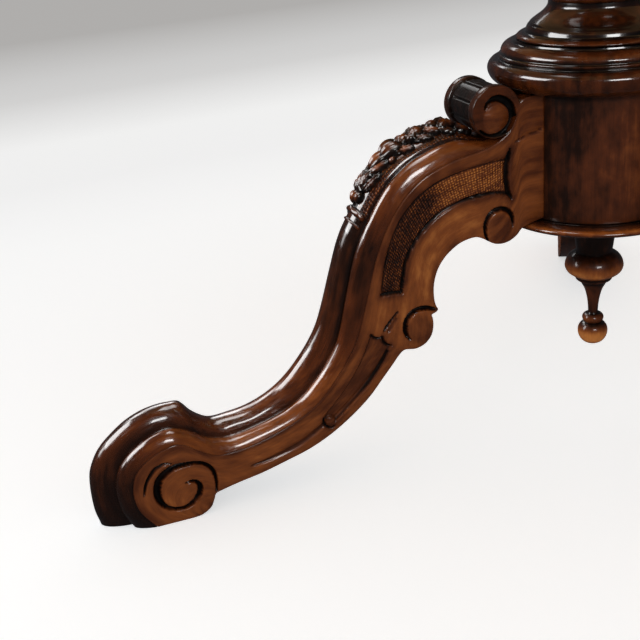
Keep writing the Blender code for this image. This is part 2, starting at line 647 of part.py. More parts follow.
def make_top():
    """The core, veneer and edge moulding of the top."""
    core_mesh = rod_mesh(CORE_RADIUS, 0.0, CORE_TOP - TOP_UNDERSIDE, TOP_SIDES)
    core = part("top_core", core_mesh, PINE, (0.0, 0.0, TOP_UNDERSIDE), parent=TILT_AXIS)
    veneer_mesh = rod_mesh(CORE_RADIUS, 0.0, VENEER_THICKNESS, TOP_SIDES)
    part("top_veneer", veneer_mesh, BURR, (0.0, 0.0, CORE_TOP + GAP), parent=TILT_AXIS)
    rim = TOP_DIAMETER / 2
    inner = CORE_RADIUS + GAP
    wide = rim - inner
    edge = [(rim - back * wide, -down * MOULDING_DEPTH) for back, down in MOULDING_PROFILE]
    edge = [(inner, 0.0)] + edge + [(inner, -MOULDING_DEPTH)]
    edge_mesh = profile_mesh(edge, True)
    moulding = part("edge_moulding", edge_mesh, WALNUT, (0.0, 0.0, TABLE_HEIGHT), parent=TILT_AXIS)
    turn_round(moulding, TOP_SIDES)
    return core


def make_bearers(core):
    """The two bearers screwed under the top, one on each side of the block."""
    half = BEARER_LENGTH / 2
    top = TOP_UNDERSIDE - GAP
    outline = (
        (-half, -BEARER_END_DEPTH), (-half + BEARER_TAPER, -BEARER_DEPTH),
        (half - BEARER_TAPER, -BEARER_DEPTH), (half, -BEARER_END_DEPTH), (half, 0.0), (-half, 0.0),
    )
    middle = (BEARER_INSIDE + BEARER_OUTSIDE) / 2
    length = BEARER_DEPTH - BEARER_SCREW_SINK + GAP + BEARER_SCREW_BITE
    sunk = top - BEARER_DEPTH + BEARER_SCREW_SINK
    sizes = (SCREW_HEAD_RADIUS, SCREW_HEAD_HEIGHT, SCREW_SHANK_RADIUS, length)
    places = (-half + BEARER_SCREW_INSET, BEARER_SCREW_MIDDLE, half - BEARER_SCREW_INSET)
    bearers = {}
    for side, x in (("left", -middle), ("right", middle)):
        mesh = outline_mesh(outline, BEARER_WIDTH / 2)
        bearer = part("bearer_" + side, mesh, MAHOGANY, (x, 0.0, top), STAND, TILT_AXIS)
        bearers[side] = bearer
        for number, y in enumerate(places, 1):
            name = f"bearer_screw_{side}_{number}"
            pocket = rod_mesh(SCREW_HEAD_RADIUS + 2 * GAP, -BEARER_SCREW_SINK - CUT_OVERRUN, 0.0, DOWEL_SIDES)
            change(bearer, cutter(name + "_pocket", pocket, (x, y, sunk)))
            screw(name, sizes, (x, y, sunk), (bearer, core), parent=TILT_AXIS)
    return bearers


def make_catch(core):
    """The brass catch under the top: plate with two bridges, sliding bolt, knob and screws."""
    half = CATCH_WIDTH / 2
    plate_mesh = box_mesh((-half, CATCH_FRONT, CATCH_BOTTOM), (half, CATCH_BACK, CATCH_TOP))
    plate = part("catch_plate", plate_mesh, BRASS, parent=TILT_AXIS)
    inside = BOLT_WIDTH / 2 + GAP
    outside = BRIDGE_WIDTH / 2
    floor = BOLT_BOTTOM - GAP
    strap = floor - BRIDGE_STRAP
    middle = CATCH_BOTTOM + CATCH_PLATE_THICKNESS / 2
    loop = (
        (-outside, middle), (-outside, strap), (outside, strap), (outside, middle),
        (inside, middle), (inside, floor), (-inside, floor), (-inside, middle),
    )
    far = BRIDGE_INSET + BRIDGE_LENGTH / 2
    for label, y in (("front", CATCH_FRONT + far), ("back", CATCH_BACK - far)):
        bridge = cutter("bridge_" + label, outline_mesh(loop, BRIDGE_LENGTH / 2), (0.0, y, 0.0), TO_FRONT)
        change(plate, bridge, "UNION")
    bolt_mesh = box_mesh((-BOLT_WIDTH / 2, BOLT_FRONT, BOLT_BOTTOM), (BOLT_WIDTH / 2, BOLT_BACK, BOLT_TOP))
    bolt = part("catch_bolt", bolt_mesh, BRASS, parent=BOLT_AXIS)
    place = (0.0, BLOCK_BACK + KNOB_FROM_BLOCK, BOLT_BOTTOM)
    ball = -KNOB_DROP + KNOB_RADIUS
    knob = [(0.0, KNOB_PIN_LENGTH), (KNOB_PIN_RADIUS, KNOB_PIN_LENGTH), (KNOB_PIN_RADIUS, -GAP)]
    knob += [(KNOB_STEM_RADIUS, -GAP), (KNOB_STEM_RADIUS, ball + KNOB_RADIUS)]
    for degrees in KNOB_ANGLES:
        angle = math.radians(degrees)
        knob.append((KNOB_RADIUS * math.cos(angle), ball + KNOB_RADIUS * math.sin(angle)))
    knob.append((0.0, -KNOB_DROP))
    turn_round(part("catch_knob", profile_mesh(knob), BRASS, place, parent=BOLT_AXIS), FITTING_SIDES)
    socket = rod_mesh(KNOB_PIN_RADIUS + GAP, -CUT_OVERRUN, KNOB_PIN_LENGTH + GAP, FITTING_SIDES)
    change(bolt, cutter("knob_socket", socket, place))
    inset = CATCH_SCREW_INSET
    sizes = (SMALL_HEAD_RADIUS, SMALL_HEAD_HEIGHT, SMALL_SHANK_RADIUS, SMALL_SCREW_LENGTH)
    for end, y in (("front", CATCH_FRONT + inset), ("back", CATCH_BACK - inset)):
        for side, x in (("left", -half + inset), ("right", half - inset)):
            place = (x, y, CATCH_BOTTOM + GAP)
            screw(f"catch_screw_{end}_{side}", sizes, place, (plate, core), parent=TILT_AXIS)


leg_drum = make_drum()
make_legs(leg_drum)
make_disc(leg_drum)
make_column()
tilt_block = make_block()
top_core = make_top()
make_pivots(tilt_block, make_bearers(top_core))
make_catch(top_core)
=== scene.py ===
"""Looks of the round centre table: carved walnut legs, turned column, burr walnut top and brass catch."""

import json
import logging
import math
from collections.abc import Sequence
from dataclasses import dataclass, field
from enum import Enum

import bmesh
import bpy
import numpy as np
from mathutils import Matrix, Vector

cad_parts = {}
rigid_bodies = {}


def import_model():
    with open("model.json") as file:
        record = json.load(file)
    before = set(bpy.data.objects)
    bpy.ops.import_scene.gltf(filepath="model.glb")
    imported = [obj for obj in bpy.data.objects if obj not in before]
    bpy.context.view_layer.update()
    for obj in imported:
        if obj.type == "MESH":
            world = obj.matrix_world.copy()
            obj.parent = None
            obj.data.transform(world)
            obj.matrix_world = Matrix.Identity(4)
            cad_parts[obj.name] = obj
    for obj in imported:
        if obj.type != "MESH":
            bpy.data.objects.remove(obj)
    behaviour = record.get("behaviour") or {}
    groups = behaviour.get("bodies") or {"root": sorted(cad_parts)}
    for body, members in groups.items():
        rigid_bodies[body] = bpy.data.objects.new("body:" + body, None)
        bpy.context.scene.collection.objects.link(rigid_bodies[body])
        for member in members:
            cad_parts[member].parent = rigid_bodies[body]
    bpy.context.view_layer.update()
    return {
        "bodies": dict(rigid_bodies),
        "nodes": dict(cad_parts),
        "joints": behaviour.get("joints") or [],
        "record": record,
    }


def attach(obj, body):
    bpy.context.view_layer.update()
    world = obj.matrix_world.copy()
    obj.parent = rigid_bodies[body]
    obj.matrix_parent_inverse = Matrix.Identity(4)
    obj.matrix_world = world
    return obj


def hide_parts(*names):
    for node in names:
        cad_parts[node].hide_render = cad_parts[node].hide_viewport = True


LOG = logging.getLogger("centre_table")
MM = 0.001
SEAM = 1e-6
CREASE = 40.0

Pair = tuple[float, float]
Triple = tuple[float, float, float]
Colour = tuple[float, float, float]
Stops = tuple[tuple[float, Colour], ...]
Runs = tuple[tuple[Triple, ...], ...]


class Body(Enum):
    """The CAD bodies that new pieces ride on."""

    BASE = "base"
    TOP = "top"


class Slot(Enum):
    """The record's material slots that new pieces have."""

    WALNUT = "polished_walnut"
    BURR = "burr_walnut_veneer"


class CarvedForm(Enum):
    """The small forms that the knee's trail of foliage is made of."""

    BUD = "bud"
    LEAF = "leaf"
    HUSK = "husk"


# Curves and reliefs


def ramp(low: float, high: float, value: np.ndarray) -> np.ndarray:
    """Rise smoothly from 0 at low to 1 at high."""
    share = np.clip((value - low) / (high - low), 0.0, 1.0)
    return share * share * (3.0 - 2.0 * share)


def curve_at(knots: np.ndarray, values: np.ndarray, wanted: np.ndarray) -> np.ndarray:
    """Follow a smooth curve through values that are set at uneven knots.

    Args:
        knots: rising knot values, one for each row of values.
        values: points that the curve passes through, one row each.
        wanted: knot values to read the curve at.

    Returns:
        One row of the curve for each wanted value.
    """
    steps = np.diff(knots)
    slopes = np.diff(values, axis=0) / steps[:, None]
    tangents = np.empty_like(values)
    tangents[0] = slopes[0]
    tangents[-1] = slopes[-1]
    before = steps[:-1, None]
    after = steps[1:, None]
    tangents[1:-1] = (slopes[:-1] * after + slopes[1:] * before) / (before + after)
    place = np.clip(np.searchsorted(knots, wanted, side="right") - 1, 0, len(steps) - 1)
    width = steps[place][:, None]
    t = ((wanted - knots[place]) / steps[place])[:, None]
    start = values[place] * (1 + 2 * t) * (1 - t) ** 2 + tangents[place] * width * t * (1 - t) ** 2
    stop = values[place + 1] * t * t * (3 - 2 * t) + tangents[place + 1] * width * t * t * (t - 1)
    return start + stop


def fine_run(points: Sequence[Sequence[float]], steps: int = 6) -> np.ndarray:
    """Draw one smooth run through a few points.

    Args:
        points: the points, with any number of values each.
        steps: how many short lines stand for the curve between two points.

    Returns:
        The points of the fine line.
    """
    table = np.array(points, float)
    if len(table) < 3:
        return table
    knots = np.arange(len(table), dtype=float)
    return curve_at(knots, table, np.linspace(0.0, knots[-1], (len(table) - 1) * steps + 1))


def fine_runs(runs: Sequence[Sequence[Sequence[float]]], steps: int = 6) -> np.ndarray:
    """Join smooth runs at sharp corners; each run starts where the one before ends."""
    parts = [fine_run(run, steps) for run in runs]
    return np.concatenate([parts[0]] + [part[1:] for part in parts[1:]])


@dataclass(frozen=True)
class Guide:
    """A line along a leg. Each point has a station, a reach from the axis and a height, in millimetres."""

    points: tuple[Triple, ...]

    def at(self, stations: np.ndarray) -> np.ndarray:
        """Read the reach and height of the line at some stations."""
        table = np.array(self.points)
        return curve_at(table[:, 0], table[:, 1:], stations)


@dataclass(frozen=True)
class Groove:
    """A channel cut in a leg's side along a curve. Each point has a reach, a height and half the width."""

    line: tuple[Triple, ...]
    depth: float
    bed: float = 0.4

    def cut(self, places: np.ndarray) -> np.ndarray:
        """Depth that the channel has at some places.

        Args:
            places: reach and height of each place, in millimetres.

        Returns:
            The depth at each place.
        """
        points = fine_run(self.line)
        nearest = np.full(len(places), np.inf)
        for start, stop in zip(points, points[1:]):
            along = stop[:2] - start[:2]
            share = np.clip((places - start[:2]) @ along / (along @ along), 0.0, 1.0)
            away = np.linalg.norm(places - start[:2] - share[:, None] * along, axis=1)
            np.minimum(nearest, away / (start[2] + share * (stop[2] - start[2])), out=nearest)
        return self.depth * (1.0 - ramp(self.bed, 1.0, nearest))


@dataclass(frozen=True)
class Hollow:
    """A sunk panel in a leg's side, inside an outline of smooth runs that meet at corners."""

    runs: tuple[tuple[Pair, ...], ...]
    depth: float
    wall: float

    def inside(self, places: np.ndarray) -> np.ndarray:
        """How far inside the outline each place is.

        Args:
            places: reach and height of each place, in millimetres.

        Returns:
            The distance to the outline in millimetres, below zero outside it.
        """
        points = fine_runs(self.runs)
        nearest = np.full(len(places), np.inf)
        crossings = np.zeros(len(places), int)
        for start, stop in zip(points, np.roll(points, -1, axis=0)):
            along = stop - start
            length = along @ along
            if length == 0.0:
                continue
            share = np.clip((places - start) @ along / length, 0.0, 1.0)
            np.minimum(nearest, np.linalg.norm(places - start - share[:, None] * along, axis=1), out=nearest)
            spans = (start[1] > places[:, 1]) != (stop[1] > places[:, 1])
            if along[1] != 0.0:
                reach = start[0] + (places[:, 1] - start[1]) / along[1] * along[0]
                crossings += spans & (places[:, 0] < reach)
        return np.where(crossings % 2 == 1, nearest, -nearest)

    def cut(self, places: np.ndarray) -> np.ndarray:
        """Depth of the panel at some places."""
        return self.depth * ramp(0.0, self.wall, self.inside(places))


@dataclass(frozen=True)
class Button:
    """A round boss that stands up again out of what is cut around it, with its edge from a share of its radius on."""

    centre: Pair
    radius: float
    crown: float
    edge: float = 0.84

    def away(self, places: np.ndarray) -> np.ndarray:
        """Distance of some places from the boss's middle, as shares of its radius."""
        return np.linalg.norm(places - np.array(self.centre), axis=1) / self.radius

    def lift(self, places: np.ndarray, cut: np.ndarray) -> np.ndarray:
        """Bring the cut back up to a slightly domed face inside the boss.

        Args:
            places: reach and height of each place, in millimetres.
            cut: depth of everything else at each place.

        Returns:
            The depth with the boss in place.
        """
        away = self.away(places)
        dome = self.crown * (away**2 - 1.0) * 0.5
        share = 1.0 - ramp(self.edge, 1.0, away)
        return cut * (1.0 - share) + dome * share


# Meshes


def skin(points: np.ndarray, layers: dict[str, np.ndarray]) -> bmesh.types.BMesh:
    """Pull a grid over rows of points, close its seams and poles, and fill its open ends.

    Args:
        points: places in metres, as rows, columns and three values.
        layers: values for named vertex attributes, with the same rows and columns.

    Returns:
        The closed shape.
    """
    rows, columns = points.shape[:2]
    work = bmesh.new()
    bmesh.ops.create_grid(work, x_segments=columns - 1, y_segments=rows - 1, size=1.0)
    mesh = bpy.data.meshes.new("skin")
    work.to_mesh(mesh)
    flat = np.empty(len(mesh.vertices) * 3, np.float32)
    mesh.vertices.foreach_get("co", flat)
    flat = flat.reshape(-1, 3)
    column = np.rint((flat[:, 0] + 1.0) / 2.0 * (columns - 1)).astype(int)
    row = np.rint((flat[:, 1] + 1.0) / 2.0 * (rows - 1)).astype(int)
    mesh.vertices.foreach_set("co", points[row, column].astype(np.float32).ravel())
    for name, values in layers.items():
        kind, field_name = ("FLOAT_VECTOR", "vector") if values.ndim == 3 else ("FLOAT", "value")
        layer = mesh.attributes.new(name, kind, "POINT")
        layer.data.foreach_set(field_name, values[row, column].astype(np.float32).ravel())
    work.clear()
    work.from_mesh(mesh)
    bpy.data.meshes.remove(mesh)
    edge = [v for v in work.verts if v.is_boundary]
    bmesh.ops.remove_doubles(work, verts=edge, dist=SEAM)
    bmesh.ops.holes_fill(work, edges=[e for e in work.edges if e.is_boundary], sides=0)
    bmesh.ops.recalc_face_normals(work, faces=work.faces)
    return work


def turned(profile: np.ndarray, steps: int, closed: bool = False) -> bmesh.types.BMesh:
    """Turn a profile round the table's axis.

    Args:
        profile: rows of radius and height in millimetres, and tone.
        steps: how many sides the round has.
        closed: whether the profile is a ring with a bore and not a shape from axis to axis.

    Returns:
        The turned shape, with tone, gloss and grain along its axis.
    """
    work = bmesh.new()
    tone = work.verts.layers.float.new("tone")
    gloss = work.verts.layers.float.new("gloss")
    grain = work.verts.layers.float_vector.new("grain")
    verts = []
    for radius, height, shade in profile:
        vert = work.verts.new((max(radius, 0.0) * MM, 0.0, height * MM))
        vert[tone] = shade
        vert[gloss] = 1.0
        verts.append(vert)
    pairs = list(zip(verts, verts[1:]))
    if closed:
        pairs.append((verts[-1], verts[0]))
    edges = [work.edges.new(pair) for pair in pairs]
    bmesh.ops.spin(
        work, geom=verts + edges, axis=(0.0, 0.0, 1.0), cent=(0.0, 0.0, 0.0), dvec=(0.0, 0.0, 0.0),
        angle=2.0 * math.pi, steps=steps, use_merge=True,
    )
    bmesh.ops.remove_doubles(work, verts=work.verts, dist=SEAM)
    bmesh.ops.recalc_face_normals(work, faces=work.faces)
    for vert in work.verts:
        vert[grain] = (vert.co.z, vert.co.x, vert.co.y)
    return work


# Finishes


class Nodes:
    """Short calls that lay out a material's nodes."""

    def __init__(self, name: str) -> None:
        """Start a material with its shader.

        Args:
            name: the material's name.
        """
        self.material = bpy.data.materials.new(name)
        self.material.use_nodes = True
        self.tree = self.material.node_tree
        self.shader = self.tree.nodes["Principled BSDF"]

    def add(self, kind: str, inputs: dict[int | str, object] | None = None, **settings: object) -> bpy.types.Node:
        """Add a node, set its choices, and link or set its sockets.

        Args:
            kind: Blender's name of the node type.
            inputs: a socket to link or a value, for each of the node's sockets.
            settings: the node's own choices.

        Returns:
            The node.
        """
        node = self.tree.nodes.new(kind)
        for key, value in settings.items():
            setattr(node, key, value)
        for key, value in (inputs or {}).items():
            self.put(node.inputs[key], value)
        return node

    def put(self, socket: bpy.types.NodeSocket, value: object) -> None:
        """Link a socket to another, or set its value.

        Args:
            socket: the socket to fill.
            value: a socket to link it to, or a plain value.
        """
        if isinstance(value, bpy.types.NodeSocket):
            self.tree.links.new(value, socket)
        else:
            socket.default_value = value

    def set(self, name: str, value: object) -> None:
        """Link or set one of the shader's own sockets."""
        self.put(self.shader.inputs[name], value)

    def attribute(self, name: str, output: str = "Fac") -> bpy.types.NodeSocket:
        """Read a vertex attribute."""
        return self.add("ShaderNodeAttribute", attribute_name=name).outputs[output]

    def place(self) -> bpy.types.NodeSocket:
        """Read the place on the piece, in metres."""
        return self.add("ShaderNodeTexCoord").outputs["Object"]

    def stretch(self, vector: bpy.types.NodeSocket, scale: Triple) -> bpy.types.NodeSocket:
        """Scale a pattern's coordinates."""
        return self.add("ShaderNodeMapping", {"Vector": vector, "Scale": scale}).outputs["Vector"]

    def noise(self, vector: bpy.types.NodeSocket, scale: float = 1.0, detail: float = 2.0) -> bpy.types.NodeSocket:
        """A cloudy pattern from 0 to 1."""
        return self.add("ShaderNodeTexNoise", {"Vector": vector, "Scale": scale, "Detail": detail}).outputs["Fac"]

    def sum(self, value: object, share: object, base: object) -> bpy.types.NodeSocket:
        """A value times a share, plus a base."""
        return self.add("ShaderNodeMath", {0: value, 1: share, 2: base}, operation="MULTIPLY_ADD").outputs[0]

    def maths(self, operation: str, first: object, second: object = 0.0) -> bpy.types.NodeSocket:
        """One step of arithmetic."""
        return self.add("ShaderNodeMath", {0: first, 1: second}, operation=operation).outputs[0]

    def moved(self, operation: str, first: object, second: object) -> bpy.types.NodeSocket:
        """One step of arithmetic on vectors."""
        return self.add("ShaderNodeVectorMath", {0: first, 1: second}, operation=operation).outputs[0]

    def spots(self, distance: bpy.types.NodeSocket, steepness: float) -> bpy.types.NodeSocket:
        """Round spots that fall from 1 in the middle of each cell to 0."""
        fall = self.maths("MINIMUM", self.maths("MULTIPLY", distance, steepness), 1.0)
        return self.maths("SUBTRACT", 1.0, fall)

    def shades(self, value: bpy.types.NodeSocket, stops: Stops) -> bpy.types.NodeSocket:
        """Colours along a scale.

        Args:
            value: where on the scale each point is.
            stops: places on the scale with their colours.

        Returns:
            The colour socket.
        """
        node = self.add("ShaderNodeValToRGB", {"Fac": value})
        row = node.color_ramp.elements
        while len(row) < len(stops):
            row.new(0.5)
        for element, (at, colour) in zip(row, stops):
            element.position = at
            element.color = (*colour, 1.0)
        return node.outputs["Color"]

    def bump(
        self, height: bpy.types.NodeSocket, depth: float, below: bpy.types.NodeSocket | None = None,
    ) -> bpy.types.NodeSocket:
        """Raise a surface by a pattern, over another bump if there is one.

        Args:
            height: the pattern, from 0 to 1.
            depth: how far it raises the surface, in metres.
            below: the bump that it lies on.

        Returns:
            The normal socket.
        """
        node = self.add("ShaderNodeBump", {"Height": height, "Distance": depth, "Strength": 1.0})
        if below is not None:
            self.put(node.inputs["Normal"], below)
        return node.outputs["Normal"]


@dataclass(frozen=True)
class Finish:
    """A finish that makes its material the first time it is asked for."""

    name: str

    def material(self) -> bpy.types.Material:
        """The finish's material.

        Returns:
            The material, made on the first call.
        """
        found = bpy.data.materials.get(self.name)
        if found is None:
            kit = Nodes(self.name)
            self.lay(kit)
            found = kit.material
        return found

    def lay(self, kit: Nodes) -> None:
        """Lay out the nodes."""
        raise NotImplementedError


@dataclass(frozen=True)
class PolishedWalnut(Finish):
    """French polished walnut, pale on flat faces and near black where its tone is lowest, as in cuts darkened as
    painted shade with gathered old polish.
    """

    stops: Stops = (
        (0.00, (0.0012, 0.0007, 0.0005)),
        (0.22, (0.0085, 0.0023, 0.0008)),
        (0.45, (0.0460, 0.0100, 0.0019)),
        (0.70, (0.1280, 0.0330, 0.0056)),
        (1.00, (0.3300, 0.1150, 0.0230)),
    )
    fibre_scale: Triple = (45.0, 1400.0, 1400.0)
    streak_scale: Triple = (9.0, 150.0, 150.0)
    cloud_scale: Triple = (30.0, 30.0, 30.0)
    mottle_scale: Triple = (70.0, 120.0, 120.0)
    wave_scale: Triple = (60.0, 110.0, 110.0)
    ripple_scale: Triple = (28.0, 420.0, 420.0)
    fibre_share: float = 0.12
    streak_share: float = 0.30
    cloud_share: float = 0.34
    mottle_share: float = 0.34
    gloss_roughness: float = 0.22
    flat_roughness: float = 0.50
    cloud_roughness: float = 0.10
    coat_weight: Pair = (0.08, 0.96)
    coat_roughness: float = 0.11
    specular_level: float = 0.12
    wave_depth: float = 0.0014
    ripple_depth: float = 0.00036
    fibre_depth: float = 0.00007
    smooth_share: float = 0.15
    punch_pitch: float = 0.0025
    punch_stretch: Triple = (1.0, 1.12, 1.12)
    punch_wander: float = 0.30
    punch_steepness: float = 1.9
    punch_depth: float = 0.0012
    punch_shade: float = 0.16
    punch_glint: float = 0.80

    def lay(self, kit: Nodes) -> None:
        """Lay out tone, grain, polish and the punched grounds.

        Args:
            kit: the material's nodes.
        """
        grain = kit.attribute("grain", "Vector")
        gloss = kit.attribute("gloss")
        fibre = kit.noise(kit.stretch(grain, self.fibre_scale), detail=3.0)
        streak = kit.noise(kit.stretch(grain, self.streak_scale), detail=4.0)
        cloud = kit.noise(kit.stretch(grain, self.cloud_scale), detail=3.0)
        mottle = kit.noise(kit.stretch(grain, self.mottle_scale), detail=4.0)
        tone = kit.sum(fibre, self.fibre_share, kit.attribute("tone"))
        tone = kit.sum(streak, self.streak_share, tone)
        tone = kit.sum(cloud, self.cloud_share, tone)
        tone = kit.sum(mottle, self.mottle_share, tone)
        shares = self.fibre_share + self.streak_share + self.cloud_share + self.mottle_share
        tone = kit.maths("SUBTRACT", tone, 0.5 * shares)
        punch = kit.attribute("punch")
        dots = self.punches(kit, grain, punch)
        # The punched ground is darkened as painted shade and each raised mark lightened as a painted glint.
        tone = kit.sum(punch, -self.punch_shade, kit.sum(dots, self.punch_glint, tone))
        kit.set("Base Color", kit.shades(tone, self.stops))
        rough = kit.sum(gloss, self.gloss_roughness - self.flat_roughness, self.flat_roughness)
        rough = kit.maths("SUBTRACT", rough, 0.5 * self.cloud_roughness)
        kit.set("Roughness", kit.sum(cloud, self.cloud_roughness, rough))
        kit.set("Specular IOR Level", self.specular_level)
        thin, full = self.coat_weight
        kit.set("Coat Weight", kit.sum(gloss, full - thin, thin))
        kit.set("Coat Roughness", self.coat_roughness)
        carved = kit.sum(kit.attribute("carved"), 1.0 - self.smooth_share, self.smooth_share)
        wave = kit.noise(kit.stretch(grain, self.wave_scale), detail=2.0)
        ripple = kit.noise(kit.stretch(grain, self.ripple_scale), detail=2.0)
        normal = kit.bump(kit.maths("MULTIPLY", wave, carved), self.wave_depth)
        normal = kit.bump(kit.maths("MULTIPLY", ripple, carved), self.ripple_depth, normal)
        normal = kit.bump(fibre, self.fibre_depth, normal)
        kit.set("Normal", kit.bump(dots, self.punch_depth, normal))

    def punches(self, kit: Nodes, grain: bpy.types.NodeSocket, punch: bpy.types.NodeSocket) -> bpy.types.NodeSocket:
        """Rows of small punch marks on the sunk grounds.

        Args:
            kit: the material's nodes.
            grain: coordinates along and across the grain.
            punch: where the grounds are punched, from 0 to 1.

        Returns:
            The marks' height, from 0 to 1.
        """
        rows = kit.stretch(grain, self.punch_stretch)
        settings = {"Vector": rows, "Scale": 1.0 / self.punch_pitch, "Randomness": self.punch_wander}
        cells = kit.add("ShaderNodeTexVoronoi", settings).outputs["Distance"]
        return kit.maths("MULTIPLY", kit.spots(cells, self.punch_steepness), punch)


@dataclass(frozen=True)
class BurrVeneer(Finish):
    """Burr walnut veneer, matched in four quarters about the middle of the top."""

    stops: Stops = (
        (0.12, (0.0160, 0.0054, 0.0020)),
        (0.38, (0.0720, 0.0225, 0.0066)),
        (0.58, (0.1420, 0.0490, 0.0140)),
        (0.86, (0.2500, 0.1020, 0.0310)),
    )

    bend_scale: float = 9.0
    bend_reach: float = 0.07
    figure_scale: float = 24.0
    figure_share: float = 0.95
    growth_scale: float = 30.0
    growth_turns: float = 62.0
    growth_share: float = 0.055
    eye_scale: float = 150.0
    eye_steepness: float = 3.4
    eyeless: float = 0.58
    eye_shade: float = 0.42
    fine_scale: float = 420.0
    fine_share: float = 0.26
    base_tone: float = -0.14

    def lay(self, kit: Nodes) -> None:
        """Lay out the mirrored swirls, the dark eyes and the polish.

        Args:
            kit: the material's nodes.
        """
        parts = kit.add("ShaderNodeSeparateXYZ", {"Vector": kit.place()}).outputs
        mirrored = {"X": kit.maths("ABSOLUTE", parts["X"]), "Y": kit.maths("ABSOLUTE", parts["Y"]), "Z": parts["Z"]}
        place = kit.add("ShaderNodeCombineXYZ", mirrored).outputs["Vector"]
        drift = {"Vector": place, "Scale": self.bend_scale, "Detail": 3.0}
        bend = kit.add("ShaderNodeTexNoise", drift).outputs["Color"]
        shift = kit.moved("MULTIPLY", bend, (self.bend_reach, self.bend_reach, self.bend_reach))
        swirl = kit.moved("ADD", place, shift)
        clouds = {"Vector": swirl, "Scale": self.figure_scale, "Detail": 5.0, "Distortion": 0.8}
        figure = kit.add("ShaderNodeTexNoise", clouds).outputs["Fac"]
        rings = kit.noise(swirl, self.growth_scale, 3.0)
        growth = kit.maths("SINE", kit.maths("MULTIPLY", rings, self.growth_turns))
        cells = kit.add("ShaderNodeTexVoronoi", {"Vector": swirl, "Scale": self.eye_scale}).outputs
        draw = kit.add("ShaderNodeSeparateXYZ", {"Vector": cells["Color"]}).outputs["X"]
        chosen = kit.maths("GREATER_THAN", draw, self.eyeless)
        eyes = kit.maths("MULTIPLY", kit.spots(cells["Distance"], self.eye_steepness), chosen)
        fine = kit.noise(swirl, self.fine_scale, 3.0)
        tone = kit.sum(fine, self.fine_share, kit.sum(figure, self.figure_share, self.base_tone))
        tone = kit.sum(eyes, -self.eye_shade, kit.sum(growth, self.growth_share, tone))
        kit.set("Base Color", kit.shades(tone, self.stops))
        kit.set("Roughness", kit.sum(fine, 0.10, 0.12))
        kit.set("Coat Weight", 0.5)
        kit.set("Coat Roughness", 0.05)
        kit.set("Normal", kit.bump(fine, 0.00004))


@dataclass(frozen=True)
class PlainWood(Finish):
    """Plain wood under the top, with straight grain along one axis and a thin finish."""

    pale: Colour
    dark: Colour
    scale: Triple
    roughness: float
    pores: float = 9.0

    def lay(self, kit: Nodes) -> None:
        """Lay out straight grain, pores and a low sheen.

        Args:
            kit: the material's nodes.
        """
        place = kit.place()
        band = kit.noise(kit.stretch(place, self.scale), detail=4.0)
        pores = kit.noise(kit.stretch(place, tuple(self.pores * s for s in self.scale)), detail=2.0)
        tone = kit.sum(pores, 0.35, kit.maths("MULTIPLY", band, 0.75))
        kit.set("Base Color", kit.shades(tone, ((0.32, self.dark), (0.72, self.pale))))
        kit.set("Roughness", kit.sum(pores, 0.2, self.roughness - 0.1))
        kit.set("Normal", kit.bump(pores, 0.00012))


@dataclass(frozen=True)
class WornMetal(Finish):
    """Brass or steel with brushed marks and darker tarnish in clouds."""

    bright: Colour
    dull: Colour
    roughness: float

    def lay(self, kit: Nodes) -> None:
        """Lay out the tarnish and the brushed marks.

        Args:
            kit: the material's nodes.
        """
        place = kit.place()
        cloud = kit.noise(place, 90.0, 4.0)
        marks = kit.noise(kit.stretch(place, (300.0, 2600.0, 2600.0)), detail=2.0)
        kit.set("Base Color", kit.shades(cloud, ((0.30, self.dull), (0.62, self.bright))))
        kit.set("Metallic", 1.0)
        kit.set("Roughness", kit.sum(marks, 0.18, self.roughness - 0.08))
        kit.set("Normal", kit.bump(marks, 0.00003))


@dataclass(frozen=True)
class PaleFloor(Finish):
    """Plain pale studio floor, greyed along one direction away from the table as a painted fall-off of light."""

    heading: Triple
    reach: Pair
    stops: Stops
    albedo: float
    glow: float

    def lay(self, kit: Nodes) -> None:
        """Lay out the painted fall-off of light from near to far, and a painted glow that the floor gives though it is
        no lamp.

        Args:
            kit: the material's nodes.
        """
        sides = {0: kit.place(), 1: self.heading}
        away = kit.add("ShaderNodeVectorMath", sides, operation="DOT_PRODUCT").outputs["Value"]
        near, far = self.reach
        share = kit.maths("DIVIDE", kit.maths("SUBTRACT", away, near), far - near)
        shade = kit.shades(share, self.stops)
        grey = (self.albedo, self.albedo, self.albedo)
        kit.set("Base Color", kit.moved("MULTIPLY", shade, grey))
        kit.set("Emission Color", shade)
        kit.set("Emission Strength", self.glow)
        kit.set("Roughness", 0.7)
        kit.set("Specular IOR Level", 0.0)


WALNUT = PolishedWalnut("walnut_french_polish")
BURR = BurrVeneer("burr_walnut_polish")
PINE = PlainWood("pine_unfinished", (0.50, 0.31, 0.14), (0.30, 0.16, 0.06), (14.0, 1.2, 14.0), 0.62)
MAHOGANY = PlainWood("mahogany_waxed", (0.17, 0.055, 0.020), (0.055, 0.016, 0.007), (60.0, 5.0, 60.0), 0.42)
BEECH = PlainWood("beech_raw", (0.56, 0.36, 0.19), (0.40, 0.23, 0.11), (90.0, 90.0, 12.0), 0.6)
BRASS = WornMetal("brass_worn", (0.72, 0.47, 0.16), (0.34, 0.20, 0.07), 0.28)
STEEL = WornMetal("steel_dull", (0.42, 0.40, 0.38), (0.18, 0.16, 0.14), 0.40)
FLOOR = PaleFloor(
    "studio_floor",
    heading=(-0.55, 0.835, 0.0),
    reach=(0.0, 3.5),
    # Painted fall-off of light, from the table out to the far floor.
    stops=(
        (0.00, (1.110, 1.125, 1.135)),
        (0.12, (1.045, 1.053, 1.058)),
        (0.25, (0.985, 0.990, 0.990)),
        (0.36, (0.900, 0.900, 0.900)),
        (0.46, (0.900, 0.900, 0.895)),
        (0.62, (0.660, 0.655, 0.650)),
        (0.70, (0.620, 0.615, 0.610)),
        (0.95, (0.440, 0.430, 0.420)),
    ),
    albedo=0.85,
    glow=0.51,
)


